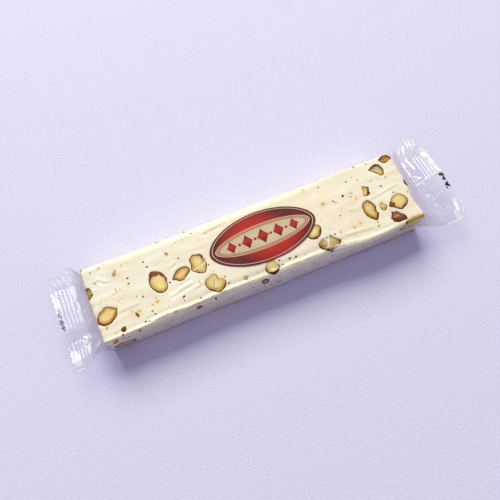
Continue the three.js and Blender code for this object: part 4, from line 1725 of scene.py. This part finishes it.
@dataclass
class FilmEnd:
    """One end of the film tube: its funnel, crimp ribs, zig-zag cut and print mark."""

    name: str
    side: int
    reach: float
    funnel: float
    tip_funnel: float
    skew: float
    curl: float
    lie: Curve
    creases: tuple[Ridge, ...]
    bits: Curve
    middle: float = 2.0
    bar_height: float = 17.0
    root: float = 75.7
    root_half: Pair = (16.8, 8.0)
    half_width: float = 24.2
    half_thickness: float = 0.07
    rib_count: int = 5
    rib_pitch: float = 1.65
    rib_rise: float = 0.34
    # painted sheen of the funnel next to the block
    veil_and_sheen: float = 0.34
    seam_matte: float = 0.0
    rib_margin: float = 0.7
    rib_zones: Curve = ((-25, 27), (1, 1))
    back_shape: Curve = ((75, 76), (1, 1))
    tuck: float = 0.0
    tooth_count: int = 16
    tooth_depth: float = 0.9
    seam_middle: float = -1.5
    seam_half_width: float = 4.2
    seam_rise: float = 0.22
    wall: float = 0.06
    columns: int = 150
    up: int = 8
    funnel_rows: int = 26
    flat_cell: float = 0.2

    def cut(self) -> float:
        """How far the flat film reaches beyond the funnel before its teeth."""
        return self.reach - self.funnel - self.tooth_depth

    def tooth(self, u: Array) -> Array:
        """1 at the point of a tooth and 0 between two, across the film."""
        place = (u + 1) / 2 * 2 * self.tooth_count
        return 1 - np.abs(place % 2 - 1)

    def place(self, u: Array, w: Array, passed: float, flat: float) -> Array:
        """Points of one loop of the film's outside.

        Args:
            u: How far across they lie, -1 to 1.
            w: How far up in the tube's section, -1 to 1.
            passed: The share of the funnel passed.
            flat: Millimetres of flat film passed.

        Returns:
            The points.
        """
        flattened = math.sin(passed * math.pi / 2)
        half = [
            blend(self.root_half[0], self.half_width, flattened),
            blend(self.root_half[1], self.half_thickness, flattened),
        ]
        radius = min(blend(1.3, 0.05, flattened), half[1] * 0.95)
        section, _ = round_off(np.stack([u * half[0], w * half[1]], axis=1), half, radius)
        y = section[:, 0] + self.middle * flattened
        y *= 1 - self.tuck * 4 * passed * (1 - passed) * (u < 0)
        narrow = np.interp(self.root + self.funnel * passed + flat, *self.back_shape)
        y *= np.where(u > 0, narrow, 1)
        outward = flat / (self.reach - self.funnel)
        funnel = (self.funnel + self.tip_funnel * u**4 * (1 - outward)) * passed
        edge = (self.skew * u - self.curl * u**10) * outward
        near_cut = ease(flat, self.cut() - 1.2, self.cut())
        teeth = self.tooth(u) * self.tooth_depth * near_cut
        x = self.side * (self.root + funnel + flat + edge + teeth)
        lying = np.mean([np.interp(y + by, *self.lie) for by in (-1.6, -0.8, 0, 0.8, 1.6)], axis=0)
        centre = blend(self.bar_height / 2, lying, flattened)
        z = centre + section[:, 1] + self.wrinkle(y, x, passed, flat)
        return np.stack([x, y, z], axis=1)

    def swing(self, flat: float) -> float:
        """Where a place on the flat film lies on a crimp rib.

        Args:
            flat: Millimetres of flat film passed.

        Returns:
            Near 1 on a rib's crest, 0 between two or beyond them.
        """
        passed = (flat - self.cut() + self.rib_margin) / self.rib_pitch + self.rib_count
        if not 0 <= passed <= self.rib_count:
            return 0.0
        return abs(math.sin(math.pi * passed)) * (0.35 + 0.65 * passed / self.rib_count)

    def in_seam(self, y: Array) -> Array:
        """Where the flattened lengthwise seam doubles the film, from 0 to 1."""
        return ease(np.abs(y - self.seam_middle), self.seam_half_width + 0.25, self.seam_half_width - 0.25)

    def wrinkle(self, y: Array, x: Array, passed: float, flat: float) -> Array:
        """Ribs, seam and creases of the film, as a change of height.

        Args:
            y: Places across.
            x: Places along.
            passed: The share of the funnel passed.
            flat: Millimetres of flat film passed.

        Returns:
            Millimetres.
        """
        spot = np.stack([x, y, np.zeros_like(y)], axis=1)
        seam = self.in_seam(y)
        worn = np.clip(0.85 + 0.4 * Lattice(71).at(spot, (40, 5, 5)), 0.3, 1)
        rib = self.rib_rise * self.swing(flat) * worn * np.interp(y, *self.rib_zones)
        gather = 0.5 * Lattice(72).at(spot, (9, 2.2, 2.2)) * math.sin(math.pi * passed) * (flat == 0)
        sharp = 1 - np.abs(Lattice(73).at(spot, (5, 7, 7)))
        random_creases = 0.12 * np.maximum(sharp - 0.75, 0) / 0.25
        ripple = 0.05 * Lattice(74).at(spot, 2.5) + 0.16 * Lattice(75).at(spot, (9, 6, 6))
        named = sum(crease.rise * crease.share(np.abs(x), y) for crease in self.creases)
        return rib + passed**2 * (self.seam_rise * seam + random_creases + ripple + named) + gather

    def haze_and_shine_at(self, points: Array, u: Array, flat: float) -> Array:
        """How pale and cloudy the film is: its own cloudiness, more on the doubled seam, painted highlights
        at its cut, edges, ribs and glinting creases, and a painted sheen in the funnel.

        Args:
            points: Points of one loop.
            u: How far across they lie, -1 to 1.
            flat: Millimetres of flat film passed.

        Returns:
            Shares from 0 to 1.
        """
        x, y, _ = points.T
        out = np.abs(x) - self.root
        uneven = 0.5 + 0.5 * Lattice(76).at(points, 2.2)
        # painted highlights along the cut and along the film's side edges
        rim = 0.55 * uneven * ease(flat, self.cut() - 0.5, self.cut())
        rim += 0.12 * uneven * hump(np.abs(u), 1, 0.012) * ease(out, 2, 6)
        # the film's own cloudiness, more on the doubled seam, with a painted sheen in the funnel next to the
        # block
        veil_and_sheen = 0.05 + self.veil_and_sheen * ease(out, 5, 1) * (0.7 + 0.8 * ease(y, 0, 9)) + 0.1 * self.in_seam(y)
        # painted shine along the rib crests
        ribs = 0.14 * self.swing(flat) ** 6 * (0.3 + uneven) * np.interp(y, *self.rib_zones)
        worn = 0.85 + 0.4 * Lattice(77).at(points, 1.6)
        # painted glints and bright lines of the named creases
        named = sum(c.white * ease(c.share(np.abs(x), y) * worn, 0.2, 0.6) for c in self.creases)
        return np.clip(veil_and_sheen + rim + ribs + named, 0, 1)

    def rows(self) -> list[Pair]:
        """The rows of points from the block outwards.

        Returns:
            For each row, the share of the funnel and the length of flat film that it has passed.
        """
        rows = [(i / self.funnel_rows, 0.0) for i in range(self.funnel_rows + 1)]
        count = round(self.cut() / self.flat_cell)
        return rows + [(1.0, self.cut() * (i + 1) / count) for i in range(count)]

    def skin(self) -> Skin:
        """The film end as a closed skin with the tube's hollow funnel.

        Returns:
            The skin.
        """
        u, w = Section(self.columns, self.up).loop().T
        outer = [self.place(u, w, passed, flat) for passed, flat in self.rows()]
        # pale diffuse share per row: the film's cloudiness with painted highlights
        haze_and_shine_rows = [self.haze_and_shine_at(row, u, flat) for row, (_, flat) in zip(outer, self.rows())]
        hollow = self.funnel_rows - 4
        flat = np.abs(w) == 1
        inward = np.stack([np.zeros_like(u), -np.sign(u) * ~flat, -np.sign(w) * flat], axis=1)
        inner = [outer[i] + self.wall * inward for i in range(hollow)]
        loops = np.array([*inner[::-1], *outer])
        count = loops.shape[1]
        flip = self.side < 0
        zips = []
        for start in (0, (len(loops) - 1) * count):
            near = np.arange(count // 2)
            quads = np.stack([near, near + 1, (count - near - 1) % count, (count - near) % count], axis=1)
            quads = quads[1:-1] + start
            turn = (start == 0) == flip
            zips.append(quads if turn else quads[:, ::-1])
            ends = np.array([[0, 1, count - 1], [count // 2 - 1, count // 2, count // 2 + 1]]) + start
            zips.append(ends if turn else ends[:, ::-1])
        edge = ease(u, 0.86, 0.92)
        dull = [np.clip(edge + self.seam_matte * self.in_seam(row[:, 1]), 0, 1) for row in outer]
        values = {
            name: np.concatenate([*shares[:hollow][::-1], *shares])
            for name, shares in {"haze": haze_and_shine_rows, "matte": dull}.items()
        }
        return Skin(loops.reshape(-1, 3), [loop_faces(len(loops), count, flip), *zips], values)

    def mark(self, thickness: float = 0.05) -> Skin:
        """The black mark on the cut edge, in ragged bits of ink.

        Args:
            thickness: The ink's thickness, larger than real so that it shows.

        Returns:
            The skin.
        """
        made = []
        draw = np.random.default_rng(3)
        for out, across, length, width in self.bits:
            u = np.array([(across - self.middle) / self.half_width])
            flat = out - self.root - self.funnel
            flat += out - abs(self.place(u, np.ones(1), 1.0, flat)[0, 0])
            rows = []
            for step in np.linspace(-1, 1, 7):
                half = 0.5 * width * math.sqrt(1.04 - step * step) * (0.75 + 0.5 * draw.random())
                spots = across + 0.3 * width * (draw.random() - 0.5) + np.linspace(-half, half, 7)
                passed = min(flat + step * length / 2, self.cut() - 0.04 * (2 - step))
                row = self.place((spots - self.middle) / self.half_width, np.ones(7), 1.0, passed)
                rows.append(row + (0, 0, 0.02))
            made.append(slab(np.array(rows), thickness, self.side > 0))
        return Skin.joined(made)


def slab(upper: Array, thickness: float, flip: bool) -> Skin:
    """A thin closed plate under a grid of points.

    Args:
        upper: Its upper points, in rows and columns.
        thickness: How thick it is.
        flip: Turns its faces over.

    Returns:
        The skin.
    """
    rows, columns = upper.shape[:2]
    high = np.arange(rows * columns).reshape(rows, columns)
    low = high + rows * columns
    points = np.concatenate([(upper + (0, 0, thickness)).reshape(-1, 3), upper.reshape(-1, 3)])
    rim = np.concatenate([high[0, :], high[1:, -1], high[-1, -2::-1], high[-2:0:-1, 0]])
    rim = np.append(rim, rim[0])
    wall = grid_faces(np.stack([rim, rim + rows * columns]), not flip)
    faces = [grid_faces(high, not flip), grid_faces(low, flip), wall]
    return Skin(points, faces, {"tint": np.zeros(len(points))})


@dataclass
class Film:
    """All of the wrapping film: sleeve, two ends with their marks, and the seal below."""

    form: BarForm
    sleeve: Sleeve
    seal_middle: float = -2.0
    seal_half_width: float = 5.0
    seal_half_length: float = 73.0
    seal_rib_pitch: float = 1.2

    # Creases of each end: their painted shine paints glints, blown patches at the cut and bright lines along
    # edges and seams.
    LEFT_CREASES = (
        *chain((85, 22), (83.5, 17), (83.3, 12), rise=0.1, spread=0.3, white=0.35),
        *ridges(
            (90.5, 25, 88.6, 18, 0.05, 0.25, 0.3), (88.6, 25.5, 86.5, 17, 0.05, 0.25, 0.35),
            (81.5, -5.5, 80.5, -8.5, -0.3, 0.5), (78.6, -16.4, 77, -14.9, 0.3, 0.5, 0.8),
            (83.4, -9.2, 82.3, -9.9, 0.2, 0.5, 0.95), (81.4, -8.6, 80.6, -10.1, 0.2, 0.55, 0.95),
            (83.3, -11.3, 83, -12, 0.2, 0.5, 0.9), (80, 3, 90, 3, 0.0, 0.25, 0.15),
            (92.8, 25.6, 92, 26, 0.1, 0.4, 0.5),
        ),
        *chain((90.7, 9.2), (91, 11.8), (91.6, 14.4), spread=1.5, white=1.5),
        *chain((89.6, -14.6), (88.9, -16.6), (88.5, -19.2), spread=1.7, white=1.5),
        *ridges((90, -22, 87, -22.3, 0.0, 0.35, 0.8)),
    )
    LEFT_BITS = (
        (91, 4.4, 0.9, 1), (90.6, 5.1, 0.7, 0.6), (90.4, 3.3, 0.7, 0.6), (90.9, 1.6, 1.3, 1.1),
        (90.2, 0.7, 0.8, 0.9), (91.1, 0.3, 0.7, 0.5), (90.3, -0.6, 0.9, 0.7), (91.2, -1.6, 0.8, 0.5),
        (90.4, -1.9, 1.1, 0.8), (90.2, -2.9, 0.6, 0.6),
    )
    # painted shine of the right end's glints, blown patches and bright lines
    RIGHT_CREASES = (
        *chain((87, 21.8), (85.4, 17.6), (85, 14), (85.8, 8.3), rise=0.15, spread=0.55, white=1.0),
        *chain((76.5, -0.8), (83, -0.3), (88, 1.2), (94, 2), rise=0.12, spread=0.4, white=0.95),
        *chain((78, -0.7), (79.9, -5.6), (80.6, -13.8), (84.8, -22.8), spread=0.35, white=0.3),
        *chain((94.8, -13.1), (93.3, -19.2), (92, -23), rise=0.2, spread=0.85, white=1.2),
        *chain((85.6, -23), (88.3, -23.5), (93.5, -22.7), (96.2, -19.8), spread=0.45, white=0.9),
        *chain((94.6, 16.6), (95.4, 12.6), (95.9, 8), (96.3, 3.8), rise=0.4, spread=1.8, white=1.8),
        *ridges(
            (89.6, 25.6, 89.2, 20.7, 0.1, 0.35, 0.7), (91.4, 25, 90, 17.5, 0.1, 0.35, 0.6),
            (93.2, 24, 92.4, 17.5, 0.1, 0.3, 0.4), (91.6, -18.5, 91, -22.4, 0.1, 0.45, 0.9),
            (96.2, -19.2, 94.6, -21.3, 0.15, 0.5, 1.0), (83.4, 4.2, 85.7, 2.3, 0.3, 0.65, 0.95),
            (84.4, -11, 86.6, -22.6, 0.08, 0.3, 0.2), (86.8, -11, 88.2, -23, 0.08, 0.3, 0.25),
            (88.8, -9.5, 90, -23, 0.08, 0.3, 0.2), (90.6, -9, 91.4, -17, 0.08, 0.3, 0.2),
            (87.6, 0.6, 87.4, -7.8, 0.05, 0.3, 0.15), (89.6, 1, 89.6, -7.4, 0.05, 0.3, 0.15),
            (91.6, 1.4, 91.6, -7, 0.05, 0.3, 0.15), (93.6, 1.6, 93.8, -11, 0.05, 0.3, 0.15),
            (85.2, -1, 85.5, -1.5, 0.2, 0.5, 0.9), (83.9, -6.6, 84.4, -7.6, 0.2, 0.6, 1.1),
            (85.8, -9.2, 86, -10, 0.2, 0.6, 1.1), (85.5, -12.5, 85.7, -13.1, 0.2, 0.5, 1.0),
        ),
        *chain((87.9, -8.9), (88.4, -8.4), (91.1, -7.5), rise=0.1, spread=0.32, white=0.7),
    )
    RIGHT_BITS = (
        (95.3, 0.6, 2.2, 1.9), (96.7, 1.2, 0.9, 0.7), (95.6, -2, 2.2, 2), (96.5, -1.2, 0.7, 0.6),
        (95.4, -5.2, 2.2, 2.2), (94.4, -6.8, 1, 0.8), (96.2, -4.2, 0.8, 0.7),
    )

    def ends(self) -> list[FilmEnd]:
        """The left end and the right end, as different as two cuts of one wrapper are."""
        return [
            FilmEnd(
                "left", -1, 16, 6.2, 2.2, 1.1, 0.4,
                lie=((-23, -19, -10, -5, 3, 15, 26), (9.8, 10.6, 9.0, 9.4, 8.9, 6.7, 6.9)),
                creases=self.LEFT_CREASES, bits=self.LEFT_BITS,
                tuck=0.15, rib_rise=0.38, veil_and_sheen=0.5, seam_matte=0.4,
                rib_zones=(
                    (-24, -20, -18, -11, -9.4, -5.8, -5, 2.6, 3.2, 13.5, 16, 26),
                    (0.4, 0.5, 0.8, 0.8, 0.05, 0.04, 0.6, 0.7, 0.9, 0.9, 0.2, 0),
                ),
            ),
            FilmEnd(
                "right", 1, 20.9, 6.6, 4.5, -0.6, 2.2,
                lie=((-23, -19, -13, -7.5, 1, 2, 15, 20, 26), (9.2, 9.7, 9.0, 9.5, 9.9, 9.9, 8.0, 8.4, 7.4)),
                creases=self.RIGHT_CREASES, bits=self.RIGHT_BITS,
                middle=1.3, half_width=24.9, rib_count=4, rib_margin=1.4,
                rib_zones=(
                    (-24, -9, -7.6, 0.9, 2.1, 12, 15.5, 17, 24),
                    (0.35, 0.3, 0.16, 0.16, 1.2, 1.2, 0.12, 0.4, 0.3),
                ),
                back_shape=((75.7, 79, 82.3, 85.6, 88.8), (1, 0.92, 0.915, 0.955, 1)),
            ),
        ]

    def build(self) -> None:
        """Makes and dresses every piece of film."""
        clear = FilmFinish("film_clear", 0.002, 90.0, 0.0001, straight_on=0.013).material()
        passing, through = (0.905, 0.897, 0.935), (0.985, 0.982, 0.965)
        crimped = FilmFinish("film_crimped", 0.01, 160.0, 0.00005, passing, through, straight_on=0.05)
        crimped = crimped.material()
        ink = srgb(46, 41, 36)
        black = InkFinish("ink_black", ink, ink, srgb(150, 145, 135), 0.7).material()
        self.sleeve.build(clear)
        for end in self.ends():
            tail, mark = f"film_end_{end.name}", f"edge_mark_{end.name}"
            mount(end.skin().piece(tail, crimped, 80), "clear_film", tail)
            mount(end.mark().piece(mark, black), "print_black", mark)
        mount(self.seal().piece("film_back_seal", crimped, 80), "clear_film", "film_back_seal")

    def seal(self) -> Skin:
        """The flat seal that runs along under the bar, ribbed across.

        Returns:
            The skin.
        """
        x = np.arange(-self.seal_half_length, self.seal_half_length + 0.01, self.seal_rib_pitch / 4)
        y = np.linspace(-self.seal_half_width, self.seal_half_width, 9) + self.seal_middle
        rows, columns = np.meshgrid(x, y, indexing="ij")
        ribs = 0.08 + 0.06 * np.cos(2 * np.pi * rows / self.seal_rib_pitch)
        made = slab(np.stack([rows, columns, ribs], axis=-1), 0.12, False)
        made.values = {"haze": np.full(len(made.points), 0.15)}
        return made


# ---- the label


@dataclass(frozen=True)
class Oval:
    """A closed outline that is lean at its two ends."""

    half_length: float
    half_width: float
    lean: float = 1.15

    def points(self) -> Array:
        """Points round the outline, about its own middle."""
        return bent(circle(120), (1, self.lean)) * (self.half_length, self.half_width)

    def inset(self, by: float) -> Oval:
        """The same outline, smaller by a distance all round."""
        return Oval(self.half_length - by * 1.5, self.half_width - by, self.lean)


@dataclass
class Label:
    """The oval label in ink on the film: a red field, a cream panel, lines and a plain motif."""

    sleeve: Sleeve
    centre: Pair = (3.5, 1.2)
    field_oval: Oval = Oval(25, 12, 1.15)
    panel_oval: Oval = Oval(22.5, 6, 1.1)
    ink: float = 0.03
    lift: float = 0.02
    line_width: float = 0.28
    lozenges: int = 5
    lozenge_pitch: float = 7.4
    lozenge_half: Pair = (2.9, 3.7)
    gap: float = 0.01

    @property
    def on_ink(self) -> float:
        """How far above the film ink lies that is printed on other ink."""
        return self.lift + self.ink + self.gap

    def band(self, inner: Array, outer: Array, rings: int, raised: float, tint: Callable) -> Skin:
        """A thin printed band between two outlines, lying on the film.

        Args:
            inner: The inner outline, about the label's middle.
            outer: The outer outline.
            rings: Its rings of faces.
            raised: How far above the film it lies.
            tint: Gives tints for places about the middle and their shares outward.

        Returns:
            The skin.
        """
        shares = np.linspace(0, 1, rings + 1)
        flat = np.array([blend(inner, outer, share) for share in shares])
        count = flat.shape[1]
        spread = flat.reshape(-1, 2)
        places = spread + self.centre
        height = self.sleeve.top(places[:, 0], places[:, 1]) + raised
        upper = np.column_stack([places, height + self.ink])
        lower = np.column_stack([places, height])
        number = np.arange(len(upper)).reshape(rings + 1, count)
        loop = np.pad(np.concatenate([number, number[::-1] + len(upper)]), (0, 1), "wrap")
        tints = tint(spread, np.repeat(shares, count))
        return Skin(np.concatenate([upper, lower]), [grid_faces(loop)], {"tint": np.tile(tints, 2)})

    @staticmethod
    def lozenge(x: float, half: Pair, curve: float) -> Array:
        """A motif's outline: curve 1 gives straight sides, more gives hollow ones, 0.5 an oval."""
        return bent(circle(48), 2 * curve) * half + (x, 0)

    def motifs(self) -> Skin:
        """The row of lozenges and dots on the panel.

        Returns:
            The skin.
        """
        half_row = (self.lozenges - 1) / 2
        shapes = []
        for i in range(self.lozenges):
            size = 1 - 0.07 * abs(i - half_row) ** 1.5
            half = (self.lozenge_half[0] * size, self.lozenge_half[1] * size)
            shapes.append(self.lozenge((i - half_row) * self.lozenge_pitch, half, 1.12))
        for i in range(self.lozenges - 1):
            shapes.append(self.lozenge((i + 0.5 - half_row) * self.lozenge_pitch, (0.65, 0.65), 0.5))
        skins = []
        for outline in shapes:
            middle = outline.mean(0)
            small = middle + (outline - middle) * 0.02
            skins.append(self.band(small, outline, 4, self.on_ink, self.motif_tint))
        return Skin.joined(skins)

    @staticmethod
    def motif_tint(at: Array, out: Array) -> Array:
        """Bright along the row, darker away from it."""
        return np.clip(0.1 + np.abs(at[:, 1] - 0.6) / 3, 0, 1)

    @staticmethod
    def field_tint(at: Array, out: Array) -> Array:
        """Bright beside the panel, left of the middle above it and right below it, dark elsewhere."""
        far = (at[:, 0] + np.where(at[:, 1] > 0, 5.0, -4.0)) / 15
        return np.clip(0.05 + 0.55 * out**1.3 + 0.75 * far**2, 0, 1)

    def build(self) -> None:
        """Makes and dresses the label's pieces."""
        tints = srgb(202, 44, 26), srgb(98, 32, 32), srgb(206, 84, 62)
        red = InkFinish("ink_red", *tints, 0.12).material()
        tints = srgb(222, 204, 166), srgb(206, 186, 146), srgb(232, 216, 182)
        cream = InkFinish("ink_cream", *tints).material()
        panel = self.panel_oval.points()
        field_skin = self.band(panel * 1.004, self.field_oval.points(), 14, self.lift, self.field_tint)
        mount(field_skin.piece("label_field", red), "print_red", "label_field")
        panel_skin = self.band(panel * 0.01, panel, 16, self.lift, lambda at, out: out)
        mount(panel_skin.piece("label_panel", cream), "print_cream", "label_panel")
        skins = [self.motifs()]
        for by in (1.1, 0.45):
            inner, outer = (self.panel_oval.inset(inset).points() for inset in (by + self.line_width, by))
            skins.insert(0, self.band(inner, outer, 2, self.on_ink, lambda at, out: np.full(len(at), 0.2)))
        mount(Skin.joined(skins).piece("label_motifs", red), "print_red")
        line = self.field_oval.inset(0.7)
        thin = self.band(line.inset(0.25).points(), line.points(), 2, self.on_ink, lambda at, out: out)
        mount(thin.piece("label_line", cream), "print_cream")


# ---- floor, light, camera


@dataclass
class Studio:
    """A pale floor, one large soft lamp behind the bar, a sky that is darker in front, the camera."""

    floor_half: float = 1500.0
    paint: FleckFinish = FleckFinish(
        "floor", srgb(231, 228, 246), srgb(223, 220, 240), roughness=0.85, ior=1.5, shine=0.2,
        patches=(1050.0, 0.32, 0.68), grain=(1050.0, 0.1), depth=0.0002,
    )
    lamp_way: Triple = (0.03, 0.7, 0.7)
    lamp_distance: float = 2200.0
    lamp_size: float = 1300.0
    lamp_power: float = 48.4
    lamp_colour: Colour = (0.98, 1.0, 0.87)
    sky: Colour = (0.352, 0.332, 0.452)
    low_sky: Colour = (0.154, 0.117, 0.29)
    sky_way: Triple = (0.35, 0.45, 0.82)
    aim: Triple = (-1.52, 3.99, 0.0)
    azimuth: float = -22.83
    elevation: float = 67.01
    roll: float = -0.21
    distance: float = 279.72
    lens: float = 43.2

    def floor(self) -> None:
        """Lays the floor."""
        h = self.floor_half
        corners = np.array([[-h, -h, 0], [h, -h, 0], [h, h, 0], [-h, h, 0]], float)
        Skin(corners, [np.array([[0, 1, 2, 3]])]).piece("floor", self.paint.material())

    def light(self) -> None:
        """Hangs the lamp and sets the sky."""
        data = bpy.data.lights.new("softbox", "AREA")
        data.shape = "SQUARE"
        data.size = self.lamp_size * MM
        data.energy = self.lamp_power
        data.color = self.lamp_colour
        lamp = bpy.data.objects.new("softbox", data)
        way = Vector(self.lamp_way).normalized()
        lamp.location = way * self.lamp_distance * MM
        lamp.rotation_euler = way.to_track_quat("Z", "Y").to_euler()
        bpy.context.scene.collection.objects.link(lamp)
        world = bpy.data.worlds.new("sky")
        world.use_nodes = True
        board = Board(world.node_tree)
        place = board.add("ShaderNodeTexCoord").outputs["Generated"]
        inputs = {0: place, 1: self.sky_way}
        height = board.add("ShaderNodeVectorMath", inputs, operation="DOT_PRODUCT").outputs["Value"]
        colour = board.mix(board.step(height, -0.5, 0.9), self.low_sky, self.sky)
        board.feed(world.node_tree.nodes["Background"].inputs["Color"], colour)
        bpy.context.scene.world = world
        bpy.context.scene.view_settings.view_transform = "Standard"

    def camera(self) -> None:
        """Sets the camera up."""
        data = bpy.data.cameras.new("camera")
        data.sensor_width = 36.0
        data.lens = self.lens
        data.clip_start, data.clip_end = 0.01, 20
        eye = bpy.data.objects.new("camera", data)
        a, e = math.radians(self.azimuth), math.radians(self.elevation)
        back = Vector((math.sin(a) * math.cos(e), -math.cos(a) * math.cos(e), math.sin(e)))
        turn = back.to_track_quat("Z", "Y").to_matrix() @ Matrix.Rotation(math.radians(self.roll), 3, "Z")
        spot = (Vector(self.aim) + back * self.distance) * MM
        eye.matrix_world = Matrix.Translation(spot) @ turn.to_4x4()
        bpy.context.scene.collection.objects.link(eye)
        bpy.context.scene.camera = eye

    def build(self) -> None:
        """Sets the whole studio up."""
        self.floor()
        self.light()
        self.camera()


def main() -> None:
    """Builds the bar, its film and label, and the studio round it."""
    logging.basicConfig(level=logging.INFO, format="%(message)s")
    form = BarForm()
    almonds = Almonds(form)
    block = Block(form, almonds.all())
    crumbs = Crumbs(block)
    blank = block.blank(NougatFinish().material())
    pockets = almonds.build(blank)
    block.build(blank, pockets, crumbs.stain)
    for tool in (blank, *pockets):
        bpy.data.objects.remove(tool)
    crumbs.build()
    sleeve = Sleeve(form)
    Film(form, sleeve).build()
    Label(sleeve).build()
    Studio().build()


if __name__ == "__main__":
    main()
